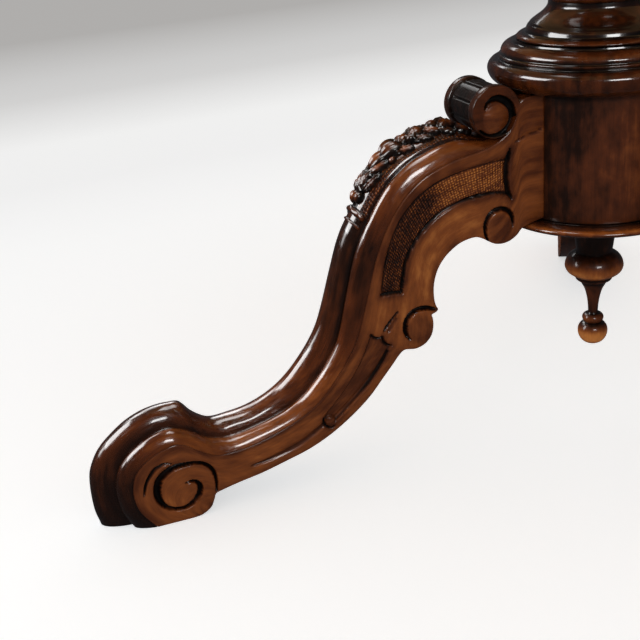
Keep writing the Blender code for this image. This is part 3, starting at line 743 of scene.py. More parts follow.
def piece(
    name: str,
    work: bmesh.types.BMesh,
    finish: Finish,
    body: Body,
    nodes: Sequence[str] = (),
    sharp: float = 180.0,
) -> bpy.types.Object:
    """Make a finished piece of a shape, ride it on its body and let it stand for its CAD nodes.

    Args:
        name: the piece's name.
        work: the shape, which is freed.
        finish: its finish.
        body: the CAD body that it moves with.
        nodes: CAD nodes that it stands for.
        sharp: edges that turn more than this many degrees stay sharp.

    Returns:
        The piece.
    """
    mesh = bpy.data.meshes.new(name)
    work.to_mesh(mesh)
    work.free()
    mesh.shade_smooth()
    if sharp < 180.0:
        mesh.set_sharp_from_angle(angle=math.radians(sharp))
    mesh.materials.append(finish.material())
    made = bpy.data.objects.new(name, mesh)
    bpy.context.scene.collection.objects.link(made)
    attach(made, body.value)
    if nodes:
        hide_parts(*nodes)
    LOG.info("%s: %d faces on %s", name, len(mesh.polygons), body.value)
    return made


# Legs


@dataclass(frozen=True)
class SideCarving:
    """The carving on a leg's side: its depth in millimetres, both panels' grounds and the share of tone left where the
    face is darkened round the panels and on and round the bosses and the pin.
    """

    cut: np.ndarray
    punched: np.ndarray
    plain: np.ndarray
    shade: np.ndarray


@dataclass(frozen=True)
class LegPolish:
    """Tone and gloss of a leg, darkened in its cuts and its channel as painted shade, with old polish gathered in the
    cuts. Each tone along it has a station and a value.
    """

    face_tone: tuple[Pair, ...] = (
        (0.0, 0.50), (2.0, 0.58), (4.0, 0.70), (9.0, 0.70), (13.0, 0.61), (17.0, 0.61), (22.0, 0.62),
    )
    band_tone: tuple[Pair, ...] = (
        (3.0, 0.22), (5.0, 0.34), (7.0, 0.26), (8.5, 0.22), (10.5, 0.25), (11.5, 0.34), (12.5, 0.47),
        (14.0, 0.47), (16.0, 0.38), (18.0, 0.38), (19.0, 0.34), (20.0, 0.30), (20.7, 0.22), (21.4, 0.16),
        (22.0, 0.10),
    )
    bead_tone: tuple[Pair, ...] = (
        (3.0, 0.40), (5.0, 0.56), (6.5, 0.50), (8.0, 0.34), (10.0, 0.30), (11.5, 0.38), (13.0, 0.58),
        (15.0, 0.60), (16.5, 0.54), (18.0, 0.62), (19.0, 0.50), (19.8, 0.34), (20.5, 0.23), (21.2, 0.17),
        (22.0, 0.10),
    )
    knee: Pair = (3.4, 7.7)
    # The knee's punched strip is dark in the middle, under the foliage, as painted shade, and paler at its sides.
    knee_strip: Pair = (0.10, 0.40)
    knee_punch: float = 0.75
    shade_and_polish_depths: Pair = (0.4, 3.2)
    filled_shade: float = 0.94
    punched_lift: float = 0.90
    plain_lift: float = 0.70
    punched_shade: float = 0.42
    channel_shade: float = 0.70
    channel_knee_lift: float = 0.30
    channel_foot_lift: float = 0.35
    arris_shade: Pair = (0.22, 6.0)
    under_shade: Pair = (0.16, 5.0)
    underside_tone: float = 0.26
    underside_gloss: float = 0.30
    face_gloss: float = 0.40
    punched_gloss: float = 0.45
    tool_marks: Triple = (0.3, 0.5, 1.3)

    def along(self, tones: tuple[Pair, ...], stations: np.ndarray) -> np.ndarray:
        """Read a tone along the leg, as one row for each station."""
        return np.interp(stations, *zip(*tones))[:, None]

    def filled(self, cut: np.ndarray) -> np.ndarray:
        """How far a cut is darkened, as painted shade and gathered old polish, from 0 to 1."""
        return ramp(*self.shade_and_polish_depths, cut)

    def on_knee(self, stations: np.ndarray) -> np.ndarray:
        """Where the knee's punched ground is, from 0 to 1, as one row for each station."""
        start, stop = self.knee
        return (ramp(start, start + 0.3, stations) * (1.0 - ramp(stop - 0.1, stop, stations)))[:, None]

    def face(self, stations: np.ndarray, shares: np.ndarray, deep: np.ndarray, carving: SideCarving) -> np.ndarray:
        """Tone of the carved side.

        Args:
            stations: stations along the leg, one for each row.
            shares: shares of the way from arris to underside, one for each column.
            deep: the side's depth at each station, in millimetres.
            carving: the carving on the side.

        Returns:
            The tone for each row and column.
        """
        upper, reach_upper = self.arris_shade
        lower, reach_lower = self.under_shade
        edges = 1.0 - upper * np.exp(-((shares * deep / reach_upper) ** 2))
        edges = edges - lower * np.exp(-(((1.0 - shares) * deep / reach_lower) ** 2))
        ground = 1.0 - self.punched_shade * ramp(4.6, 5.8, stations)[:, None] * carving.punched
        # Deep cuts are darkened as painted shade with gathered old polish, and the panels' grounds less so.
        kept = self.filled_shade - self.punched_lift * carving.punched - self.plain_lift * carving.plain
        tone = self.along(self.face_tone, stations) * carving.shade * edges
        return tone * ground * (1.0 - self.filled(carving.cut) * kept)

    def mould(self, stations: np.ndarray, off: np.ndarray, band: float) -> np.ndarray:
        """Tone of the moulded face.

        Args:
            stations: stations along the leg, one for each row.
            off: distances from the leg's middle, one for each column, in millimetres.
            band: half the width of the middle band.

        Returns:
            The tone for each row and column.
        """
        beads = self.along(self.bead_tone, stations)
        bands = self.along(self.band_tone, stations)
        tone = np.where(off[None, :] > band, beads, bands)
        knee = self.on_knee(stations)
        middle, side = self.knee_strip
        strip = middle + (side - middle) * ramp(4.0, 7.0, off)[None, :]
        tone = tone + knee * (off < band)[None, :] * (strip - tone)
        foot = ramp(11.0, 12.5, stations)[:, None]
        # The channel beside the middle band is darkened as painted shade, less on the knee and from the lower leg
        # down.
        shade = self.channel_shade - self.channel_knee_lift * knee - self.channel_foot_lift * foot
        return tone * (1.0 - shade * np.exp(-(((off - band - 0.3) / 0.8) ** 2))[None, :])


@dataclass
class ScrollLeg:
    """The carved scroll leg, drawn along +X in millimetres and turned to its three places."""

    places: tuple[tuple[str, float], ...] = (("left", 210.0), ("right", 330.0), ("back", 90.0))
    polish: LegPolish = LegPolish()
    half_width: float = 30.0
    drum_radius: float = 80.3
    stations: int = 468
    side_steps: int = 60
    edge: float = 0.9
    band: float = 15.2
    crest: Guide = field(default=Guide((
        (0.0, 80.3, 342.4), (0.5, 90, 342.6), (0.8, 96.5, 341.8), (1.0, 100.5, 338.4), (1.4, 104.6, 327),
        (2.0, 111.7, 315), (2.5, 119.8, 308.2), (3.0, 128.7, 307.7), (3.3, 136.5, 310.9), (3.6, 146.3, 315.2),
        (4.0, 162, 319.4), (4.5, 178.9, 318), (5.0, 192.9, 313.7), (5.5, 207.5, 307.4), (6.0, 220.2, 298.9),
        (6.5, 231.6, 289.7), (7.0, 241.6, 277.7), (7.5, 251.3, 262.9), (7.85, 257.4, 254.2), (8.0, 260, 250),
        (9.0, 268.3, 235.1), (10.0, 275.3, 217.1), (10.5, 282.6, 195.2), (11.0, 289.9, 173.1),
        (11.5, 297.7, 153), (12.0, 306.9, 137.4), (12.5, 318.6, 122.4), (13.0, 331.9, 108.5),
        (13.5, 346.6, 97.5), (14.0, 363.3, 89.5), (14.5, 379.2, 84.9), (15.0, 396, 83.2), (15.5, 408.5, 82.9),
        (15.8, 413.6, 84.4), (16.2, 420.5, 89.5), (16.6, 427.3, 96.4), (16.85, 432, 102.8),
        (17.0, 435.4, 106.4), (17.15, 438.8, 107.6), (17.4, 444.5, 107.9), (18.0, 457, 107.6),
        (18.5, 471.2, 105), (19.0, 486.3, 98.8), (19.5, 500.8, 88.9), (20.0, 513.4, 77.6),
        (20.5, 522.1, 64.3), (21.0, 526.8, 49.4), (21.3, 527.8, 35.4), (21.6, 527.4, 17.5), (22.0, 524, 0),
    )))
    arris: Guide = field(default=Guide((
        (0.0, 80.3, 342.7), (0.5, 89, 342.8), (0.8, 95.2, 341.9), (1.0, 98.8, 338.6), (1.4, 102.2, 326.6),
        (2.0, 108.2, 315.4), (2.5, 116.2, 308.8), (3.0, 125.6, 304), (3.5, 136.5, 300.6), (4.0, 150.3, 298.2),
        (4.5, 165.2, 295.5), (5.0, 181.1, 290.4), (5.5, 194.7, 284.5), (6.0, 207.4, 275.4),
        (6.5, 218.2, 264.5), (7.0, 227.2, 252.3), (7.5, 234.7, 239.5), (8.0, 240.2, 227.5),
        (9.0, 245.3, 214.9), (10.0, 249.4, 201), (11.0, 257.8, 173), (11.5, 263.2, 155.7), (12.0, 269, 140.4),
        (12.5, 277.4, 126.4), (13.0, 288.5, 111.3), (13.5, 303.9, 93.6), (14.0, 321.2, 80.5),
        (14.5, 340.4, 71.5), (15.0, 359.5, 64.7), (15.5, 378.6, 59.7), (16.0, 395.4, 58), (16.5, 411, 58.5),
        (17.0, 424, 64.7), (17.3, 431.9, 70.4), (17.6, 438.7, 75.6), (18.0, 447.8, 79.1), (18.5, 459.9, 77.1),
        (19.0, 471.3, 72.1), (19.5, 480.7, 65.8), (20.0, 487.7, 57.6), (20.5, 491.4, 46.7), (21.0, 492, 34.4),
        (21.5, 488.2, 18.8), (22.0, 475.7, 0),
    )))
    under: Guide = field(default=Guide((
        (0.0, 80.3, 226.5), (0.5, 88, 224.2), (1.0, 97.6, 219.7), (1.3, 102.2, 214.6), (1.7, 108.3, 210.7),
        (2.2, 114.3, 208.9), (2.7, 119.8, 208.7), (3.1, 125.9, 210), (3.5, 132.3, 213.5), (3.9, 137.8, 217.1),
        (4.2, 143.2, 219.6), (4.6, 150.2, 219.9), (5.0, 159.3, 218), (5.5, 168.5, 213.3), (6.0, 176.7, 206.8),
        (6.5, 183.5, 198), (7.0, 187.7, 187.9), (7.5, 189.5, 177.6), (8.0, 189.3, 167.1), (8.5, 187.6, 159.8),
        (8.8, 185.9, 156), (9.0, 188, 153.9), (9.3, 192.4, 152.1), (9.6, 191.7, 148.4), (10.1, 191.3, 141.7),
        (10.5, 192.3, 135), (10.9, 195.2, 129), (11.2, 199.6, 124.6), (11.5, 205.3, 122), (11.8, 211, 121.1),
        (12.1, 216.1, 121.9), (12.35, 220.7, 122.6), (12.6, 224.3, 121.3), (12.85, 228.6, 117.3),
        (13.1, 234, 110.9), (13.5, 245.9, 97.5), (14.0, 260, 81.9), (14.5, 279.5, 66), (15.0, 301, 52.4),
        (15.5, 323.4, 42.3), (16.0, 347.9, 35.3), (16.5, 371.4, 29.3), (17.0, 395.8, 24.9),
        (17.4, 409.7, 21.8), (17.7, 416.1, 20.1), (17.9, 418.3, 18.5), (18.1, 419.3, 15.5),
        (18.5, 420.9, 11.6), (19.0, 422.5, 8.2), (19.5, 424.2, 6), (20.0, 426.5, 4.1), (20.5, 429.3, 2.3),
        (21.0, 432.1, 1.1), (21.5, 435.3, 0.3), (22.0, 440.1, 0),
    )))
    bead_share: tuple[Pair, ...] = (
        (0.0, 0.60), (10.0, 0.60), (11.0, 0.54), (12.0, 0.43), (13.0, 0.38), (14.0, 0.38), (16.0, 0.42),
        (22.0, 0.42),
    )
    band_lip: float = 0.08
    channel: float = 0.7
    bead_flat: float = 0.18
    bead_turn: float = 0.9
    bead_dip: float = 0.10
    scribe_end: float = 100.0
    last_station: float = 22.0
    under_offs: tuple[float, ...] = (0.0, 8.0, 16.0, 23.0, 28.0, 29.2)
    mould_offs: tuple[float, ...] = (
        29.75, 29.4, 28.9, 28.2, 27.2, 26, 24.6, 23.2, 21.8, 20.4, 19.2, 18.2, 17.4, 16.8, 16.3, 15.9, 15.5,
        15.1, 14.8, 14.3, 13.5, 12.5, 11.2, 9.7, 8, 6, 4, 2, 0,
    )

    def panels(self) -> tuple[Hollow, ...]:
        """The sunk panels.

        Returns:
            The punched panel above, and the plain one on the lower leg.
        """
        upper = Hollow((
            (
                (108.5, 297.9), (111.5, 292.3), (117, 290.6), (129.8, 289.9), (144.6, 288.4), (159.5, 286.2),
                (173.5, 283), (186.5, 278.6), (198.6, 272.1), (209.8, 263.3), (219.2, 252.8), (226.6, 241.1),
                (232.7, 228), (237.3, 214.3), (240.4, 200.4), (242.2, 189.5), (242.8, 180.2),
            ),
            ((242.8, 180.2), (232.1, 180.4), (220.1, 178.6)),
            (
                (220.1, 178.6), (219.3, 187.9), (216.7, 200.9), (212.2, 213.6), (205.2, 225), (196.9, 234.7),
                (186.6, 243.1), (175.4, 249.6), (163.4, 254.1), (150.3, 256.8), (136.4, 257.7),
                (122.5, 257.3), (113.6, 255.3), (107.7, 251.2),
            ),
            ((107.7, 251.2), (110.2, 258), (110.8, 268.6), (110.6, 279.2), (109.9, 289.6), (108.5, 297.9)),
        ), 2.4, 1.7)
        lower = Hollow((
            ((234.2, 130.3), (238.8, 131.9), (242.2, 135.7), (243.1, 141.5)),
            ((243.1, 141.5), (246.3, 140.2), (250.8, 141.6), (255.3, 146.2)),
            (
                (255.3, 146.2), (259.4, 136.8), (264.1, 127), (270, 116.1), (277.5, 105.4), (286, 95),
                (294.8, 85.4), (303, 77.8), (307.1, 72.6),
            ),
            ((307.1, 72.6), (305.9, 66.1), (301.6, 60.1)),
            (
                (301.6, 60.1), (293, 65.5), (283.2, 73.2), (272.9, 82.2), (262.1, 92.9), (251.2, 105.8),
                (241.9, 118.2), (234.2, 130.3),
            ),
        ), 3.0, 2.4)
        return upper, lower

    def grooves(self) -> tuple[Groove, ...]:
        """The channels cut in each side.

        Returns:
            The channels from roll to foot: along the panels, round the bosses and in the foot's volute.
        """
        return (
            # Inner end, lower edge and outer end of the punched panel
            Groove((
                (108.1, 252, 1.5), (111.1, 258.1, 2.7), (112.9, 268.8, 3.1), (112.7, 281.4, 3.1),
                (111.2, 290.7, 2.7), (108.7, 297.4, 1.4),
            ), 5.0),
            Groove((
                (110.6, 255.2, 1.2), (122.5, 258.9, 1.5), (136.4, 259.3, 1.5), (150.7, 258.4, 1.5),
                (163.9, 255.7, 1.5), (176.2, 251.1, 1.5), (187.6, 244.5, 1.5), (198, 235.9, 1.5),
                (206.6, 226, 1.5), (213.6, 214.4, 1.5), (218.2, 201.4, 1.5), (220.8, 188, 1.5),
                (221.6, 181.5, 1.3),
            ), 3.9),
            Groove(((222, 180.9, 1.9), (232.1, 182.5, 2.1), (241.5, 182.2, 1.9)), 3.7),
            # Round the upper boss
            Groove((
                (107.4, 225.2, 1.2), (106.8, 230, 2.1), (108.9, 236.6, 2.5), (113.8, 241.2, 2.6),
                (120.3, 242.9, 2.7), (126.8, 241.5, 2.7), (132, 237.1, 2.6), (135, 230.9, 2.5),
                (135.5, 223.9, 2.2), (134.2, 217.9, 1.6), (132.3, 214, 1),
            ), 5.0),
            # Round the lower boss
            Groove((
                (187.3, 156.3, 1), (191.4, 157.7, 2.1), (197.4, 159.9, 2.8), (204.5, 160.6, 3.1),
                (211.2, 158.9, 3.1), (216.2, 154.9, 3), (219.3, 149.2, 2.9), (220, 142.3, 2.7),
                (218.2, 135.9, 2.2), (215.2, 131.9, 1.4),
            ), 5.5),
            # The small leaf beside it
            Groove(((226.8, 162.5, 0.9), (232.1, 156.8, 1.6), (236.9, 151.6, 2), (240.9, 146.6, 1.3)), 3.2),
            Groove(((229.1, 155.5, 2.7), (233.9, 149.1, 3.1), (237.2, 144.9, 2.1)), 1.5),
            # Bed and upper end of the plain panel
            Groove((
                (239.6, 124.8, 2.6), (247.2, 113.5, 3.7), (257, 102.3, 4.5), (267.8, 91.6, 4.5),
                (278.6, 82.3, 4.3), (288.4, 74.2, 3.5), (295.4, 68.8, 2.1),
            ), 3.8, 0.1),
            Groove((
                (235.0, 130.2, 0.8), (238.9, 131.7, 1.4), (242.2, 135.5, 1.5), (243.4, 140.6, 1.4),
                (246.5, 139.6, 1.5), (250.6, 140.9, 1.5), (254.6, 145.2, 1.0),
            ), 4.2),
            # Round the pin at its lower end
            Groove((
                (306.4, 71.9, 1.1), (307.4, 67.4, 1.6), (305.6, 62.4, 1.6), (301.1, 59.4, 1.2),
                (296.9, 60.8, 0.9),
            ), 3.4),
            # Flute that runs out towards the foot
            Groove((
                (308.6, 64, 4.1), (320.5, 56.7, 4.9), (335.5, 49.6, 4.9), (351.5, 44.7, 4.3),
                (367.4, 41.1, 3.1), (381.1, 39.1, 1.4),
            ), 1.7, 0.1),
            # Volute of the foot and the crescent outside it
            Groove((
                (416.8, 21.9, 0.9), (415.9, 31.3, 1.5), (416.6, 40.2, 2), (419.6, 48, 2.2),
                (425.4, 53.8, 2.2), (434.1, 56.8, 2.2), (443.4, 57.4, 2.7), (451.8, 57.1, 3.3),
                (460.4, 54, 3.9), (467.2, 48.1, 4.2), (470.6, 39.9, 4.2), (471.2, 31.2, 3.9),
                (468.6, 22.8, 3.2), (463.2, 16.7, 2.5), (455.5, 13.6, 2.2), (447.1, 13.4, 2.3),
                (439.3, 16.9, 2.8), (433.6, 23.1, 3.2), (431.4, 30.5, 3), (433.7, 36.1, 2.3),
                (438.7, 38.8, 1.5), (443.5, 38.2, 0.8),
            ), 6.0),
            Groove((
                (455.5, 61.7, 0.8), (461.7, 62.9, 1.4), (468.7, 60.4, 1.8), (475.2, 54.7, 1.9),
                (480, 47.1, 1.8), (482.5, 39.6, 1.3), (483, 34.9, 0.7),
            ), 3.4),
            # Shoulder under the roll
            Groove(((81.5, 312.4, 1.1), (87.2, 309.3, 1.3), (95.1, 306.8, 1.2), (103.9, 303.8, 0.8)), 1.8),
        )

    def buttons(self) -> tuple[Button, ...]:
        """The round bosses on each side.

        Returns:
            The bosses of the knee, the pin at the plain panel's end and the eye of the volute.
        """
        return (
            Button((120.4, 224.3), 13.2, 1.6),
            Button((205.4, 139.7), 13.6, 1.6),
            Button((300.8, 66.8), 5.0, 2.4),
            Button((450.2, 27.3), 12.6, 1.4),
        )

    def side_carving(self, face: np.ndarray) -> SideCarving:
        """All the carving on a side.

        Args:
            face: reach and height of each place, in millimetres, as rows and columns.

        Returns:
            The carving, with the face's rows and columns.
        """
        places = face.reshape(-1, 2)
        upper, lower = self.panels()
        cut = np.maximum(upper.cut(places), lower.cut(places))
        for groove in self.grooves():
            np.maximum(cut, groove.cut(places), out=cut)
        for button in self.buttons():
            cut = button.lift(places, cut)
        near_upper = upper.inside(places)
        near_lower = lower.inside(places)
        shade = 1.0 - 0.30 * np.exp(-((np.minimum(near_upper, 0.0) / 5.0) ** 2)) * (near_upper < 0.5)
        shade = shade * (1.0 - 0.20 * np.exp(-((np.minimum(near_lower, 0.0) / 4.0) ** 2)) * (near_lower < 0.5))
        for button in self.buttons()[:-1]:
            shade = shade * (1.0 - 0.22 * (1.0 - ramp(0.7, 1.3, button.away(places))))
        grounds = ramp(2.0, 4.0, near_upper), ramp(0.6, 3.4, near_lower)
        return SideCarving(*(values.reshape(face.shape[:2]) for values in (cut, *grounds, shade)))

    def spread(self) -> np.ndarray:
        """Stations spaced evenly along the middle of the side.

        Returns:
            The stations, a little closer on the foot and the bosses.
        """
        fine = np.linspace(0.0, self.last_station, 4401)
        steps = np.linalg.norm(np.diff(self.arris.at(fine), axis=0), axis=1)
        steps += np.linalg.norm(np.diff(self.under.at(fine), axis=0), axis=1)
        run = np.concatenate([[0.0], np.cumsum(steps)])
        return np.interp(np.linspace(0.0, run[-1], self.stations), run, fine)

    def section(self, stations: np.ndarray, off: np.ndarray) -> np.ndarray:
        """Share of the way from arris to crest across the moulded face.

        Args:
            stations: stations along the leg, one for each row.
            off: distances from the leg's middle, one for each column, in millimetres.

        Returns:
            The share for each row and column.
        """
        bead = np.interp(stations, *zip(*self.bead_share))[:, None]
        off = np.abs(off)[None, :]
        round_over = np.sqrt(np.clip(1.0 - (off / self.band) ** 2, 0.0, 1.0))
        foot = bead - self.band_lip
        band = foot + (1.0 - foot) * round_over
        start = self.band + self.channel
        across = np.clip((off - start) / (self.half_width - start), 0.0, 1.0)
        turn = self.bead_turn * np.clip((across - self.bead_flat) / (1.0 - self.bead_flat), 0.0, 1.0)
        low = math.sqrt(1.0 - self.bead_turn**2)
        fall = (np.sqrt(1.0 - turn**2) - low) / (1.0 - low)
        side = bead * fall * (1.0 - self.bead_dip * (1.0 - ramp(0.0, self.bead_flat, across)))
        return np.where(off <= self.band + 0.4, band, side)

    def side_off(self, cut: np.ndarray, shares: np.ndarray, deep: np.ndarray) -> np.ndarray:
        """Distance of a side's surface from the leg's middle, with the edges a little worn.

        Args:
            cut: depth of the carving, in millimetres.
            shares: shares of the way from arris to underside, one for each column.
            deep: the side's depth at each station, in millimetres.

        Returns:
            The distance for each row and column, in millimetres.
        """
        near = np.clip(np.minimum(shares, 1.0 - shares) * deep, 0.0, self.edge)
        worn = self.edge - np.sqrt(self.edge**2 - (self.edge - near) ** 2)
        return self.half_width - cut - worn

    def scribed(self, reach: np.ndarray, off: np.ndarray) -> np.ndarray:
        """Draw the reach in near the drum, so that the leg's end fits the drum's round face."""
        drop = self.drum_radius - np.sqrt(self.drum_radius**2 - np.minimum(off, self.half_width) ** 2)
        return reach - drop * (1.0 - ramp(self.drum_radius, self.scribe_end, reach))

    def half_ring(self, stations: np.ndarray) -> dict[str, np.ndarray]:
        """Half of the leg's skin, from the middle of its underside round one side to the middle of its crest.

        Args:
            stations: stations along the leg.

        Returns:
            The points, tone, gloss, punch, tool marks and grain, by name, for each station and column.
        """
        crest = self.crest.at(stations)[:, None, :]
        arris = self.arris.at(stations)[:, None, :]
        under = self.under.at(stations)[:, None, :]
        inner = np.array(self.under_offs)
        outer = np.array(self.mould_offs)
        shares = np.concatenate([(1.0, 0.993, 0.983), np.linspace(0.97, 0.03, self.side_steps), (0.017, 0.007, 0.0)])
        rows = np.ones((len(stations), 1))
        face = arris + shares[None, :, None] * (under - arris)
        carving = self.side_carving(face)
        deep = np.linalg.norm(under - arris, axis=2)
        share = self.section(stations, outer)
        mould = arris + share[:, :, None] * (crest - arris)
        flat = np.concatenate([np.repeat(under, len(inner), axis=1), face, mould], axis=1)
        off = np.concatenate([rows * inner, self.side_off(carving.cut, shares, deep), rows * outer], axis=1)
        points = np.stack([self.scribed(flat[..., 0], off), off, flat[..., 1]], axis=2)
        steps = np.linalg.norm(np.diff(0.5 * (arris + under)[:, 0], axis=0), axis=1)
        length = np.concatenate([[0.0], np.cumsum(steps)])[:, None]
        rise = share * np.linalg.norm(crest - arris, axis=2)
        height = np.concatenate([-deep * np.ones(len(inner)), -deep * shares, rise], axis=1)
        grain = np.stack([length * np.ones(height.shape[1]), height, off], axis=2) * MM
        look = self.polish
        plain, full = rows * np.ones(len(inner)), rows * np.ones(len(outer))
        sides = [look.face(stations, shares, deep, carving), look.mould(stations, outer, self.band)]
        tone = np.concatenate([look.underside_tone * plain, *sides], axis=1)
        shine = look.face_gloss * (1.0 - look.filled(carving.cut)) + look.punched_gloss * carving.punched
        gloss = np.concatenate([look.underside_gloss * plain, shine, full], axis=1)
        ground = look.knee_punch * look.on_knee(stations) * (outer < self.band)
        punch = np.concatenate([0.0 * plain, carving.punched, ground], axis=1)
        marks = np.repeat(look.tool_marks, (len(inner), len(shares), len(outer)))
        return {"points": points, "tone": tone, "gloss": gloss, "punch": punch, "carved": rows * marks, "grain": grain}

    def build(self) -> None:
        """Shape the leg, its roll and the carving on its knee, and set a copy of each at every place."""
        half = self.half_ring(self.spread())
        whole = {}
        for name, values in half.items():
            other = values[:, -2::-1].copy()
            if name == "points":
                other[..., 1] *= -1.0
            whole[name] = np.concatenate([values, other], axis=1)
        points = whole.pop("points") * MM
        shapes = {
            "carved_leg_": skin(points, whole),
            "scroll_roll_": skin(*TopRoll().shape()),
            "knee_foliage_": self.knee_shape(),
        }
        for side, degrees in self.places:
            turn = Matrix.Rotation(math.radians(degrees), 4, "Z")
            for name, shape in shapes.items():
                work = shape.copy()
                work.transform(turn)
                nodes = ["leg_" + side] if name == "carved_leg_" else []
                piece(name + side, work, WALNUT, Body.BASE, nodes)
        for shape in shapes.values():
            shape.free()

    def surface(self, station: float, off: float) -> Vector:
        """A place on the moulded face.

        Args:
            station: where along the leg it is.
            off: its distance from the leg's middle, in millimetres.

        Returns:
            The place, in millimetres.
        """
        stations = np.array([station])
        share = self.section(stations, np.array([off]))[0, 0]
        arris = self.arris.at(stations)[0]
        flat = arris + share * (self.crest.at(stations)[0] - arris)
        return Vector((flat[0], off, flat[1]))

    def frame(self, station: float, off: float) -> Matrix:
        """Axes at a place on the moulded face.

        Args:
            station: where along the leg it is.
            off: its distance from the leg's middle, in millimetres.

        Returns:
            The axes along the leg, across it and out of it, with the place as their origin.
        """
        here = self.surface(station, off)
        along = (self.surface(station + 0.05, off) - self.surface(station - 0.05, off)).normalized()
        across = (self.surface(station, off + 0.5) - self.surface(station, off - 0.5)).normalized()
        out = along.cross(across).normalized()
        if out.z + out.x < 0.0:
            out = -out
        across = out.cross(along)
        return Matrix.Translation(here) @ Matrix((along, across, out)).transposed().to_4x4()

    def knee_shape(self) -> bmesh.types.BMesh:
        """The trail of buds, leaves and husks down the knee, with the rolled cuff that ends it.

        Returns:
            The trail in metres, along +X.
        """
        work = KneeTrail().shape(self)
        work.transform(Matrix.Scale(MM, 4))
        grain = work.verts.layers.float_vector["grain"]
        for vert in work.verts:
            vert[grain] = vert.co
        return work


@dataclass
class TopRoll:
    """The roll across the top of a leg, in millimetres, with its axis across the leg."""

    centre: Pair = (122.2, 333.5)
    radius: float = 23.7
    waist: float = 21.4
    half_length: float = 29.85
    edge: float = 0.8
    eye: Triple = (123.1, 327.5, 12.5)
    eye_rise: float = 2.4
    rim: float = 10.0
    pads: int = 8
    pad_rise: float = 0.9
    pad_gap: float = 2.2
    steps: int = 176
    spiral: Groove = Groove((
        (133.8, 337.3, 0.9), (131, 342.2, 2.0), (125.5, 345.2, 3.0), (119.2, 345.1, 3.7), (112.9, 342, 4.1),
        (107.8, 336.4, 4.2), (106.1, 329, 4.2), (107.4, 322.6, 4.0), (111.3, 317.2, 3.9), (116.9, 313.2, 3.9),
        (124.3, 310.8, 4.2), (131.6, 311, 4.6), (138.7, 315, 5.4),
    ), 6.0, 0.5)

    def profile(self) -> np.ndarray:
        """Outline that the roll is turned from.

        Returns:
            Rows of radius and offset, from the middle of one end to the middle of the other.
        """
        end, inset = self.half_length, self.radius - self.edge
        rim = end - self.rim
        half = [(radius, end) for radius in np.linspace(0.0, inset, 34)]
        for angle in np.linspace(0.0, 0.5 * math.pi, 5)[1:]:
            half.append((inset + self.edge * math.sin(angle), end - self.edge + self.edge * math.cos(angle)))
        half += [(self.radius, end - 3.0), (self.radius, end - 6.0)]
        half += [(self.radius - 0.1, rim + 1.2), (self.radius - 0.7, rim + 0.3)]
        half += [(self.waist - 1.2, rim - 0.2), (self.waist - 1.4, rim - 0.8)]
        half += [(self.waist - 1.2, rim - 1.3), (self.waist, rim - 2.0)]
        half += [(self.waist, off) for off in np.linspace(rim - 3.0, 0.0, 10)]
        return np.array(half + [(radius, -off) for radius, off in reversed(half[:-1])])

    def shape(self) -> tuple[np.ndarray, dict[str, np.ndarray]]:
        """The roll with its pads and the spirals on its ends.

        Returns:
            Rows of points in metres, and the attributes by name, for a skin.
        """
        profile = self.profile()
        angles = np.linspace(0.0, 2.0 * math.pi, self.steps + 1)
        around = np.ones(len(angles))
        off = profile[:, 1:] * around
        seam_at = self.half_length - self.rim - 0.8
        lap = (angles * self.pads / (2.0 * math.pi) + 0.35) % 1.0
        gap = ramp(0.80, 0.88, lap) * (1.0 - ramp(0.90, 1.0, lap))
        middle = (np.abs(off) < seam_at - 0.8).astype(float)
        radius = profile[:, :1] * around + middle * (self.pad_rise * lap - self.pad_gap * gap)
        reach = self.centre[0] + radius * np.cos(angles)
        up = self.centre[1] + radius * np.sin(angles)
        on_end = np.abs(off) > self.half_length - 0.05
        places = np.stack([reach, up], axis=2)
        cut = self.spiral.cut(places.reshape(-1, 2)).reshape(off.shape) * on_end
        away = np.hypot(reach - self.eye[0], up - self.eye[1]) / self.eye[2]
        dome = self.eye_rise * np.clip(1.0 - away**2, 0.0, 1.0) * on_end
        points = np.stack([reach, np.sign(off) * (np.abs(off) - cut + dome), up], axis=2) * MM
        filled = ramp(0.4, 3.2, cut)
        # The ends are a little paler on the eye and darkened in the spiral groove as painted shade.
        end_tone = (0.40 + 0.05 * (away < 1.0)) * (1.0 - 0.95 * filled)
        # The rims are paler than the dark middle, and the gaps between the pads and the seams by the rims are darkened
        # as painted shade.
        pad_tone = 0.28 * (1.0 - middle) + 0.05 * middle * (1.0 - gap)
        painted_seam_shade = np.exp(-(((np.abs(off) - seam_at) / 1.2) ** 2))
        tone = np.where(on_end, end_tone, pad_tone * (1.0 - 0.9 * painted_seam_shade))
        gloss = np.where(on_end, 0.75 * (1.0 - filled), 0.55 - 0.33 * middle)
        plain = {"punch": np.zeros_like(tone), "carved": np.ones_like(tone)}
        return points, {"tone": tone, "gloss": gloss, "grain": points, **plain}


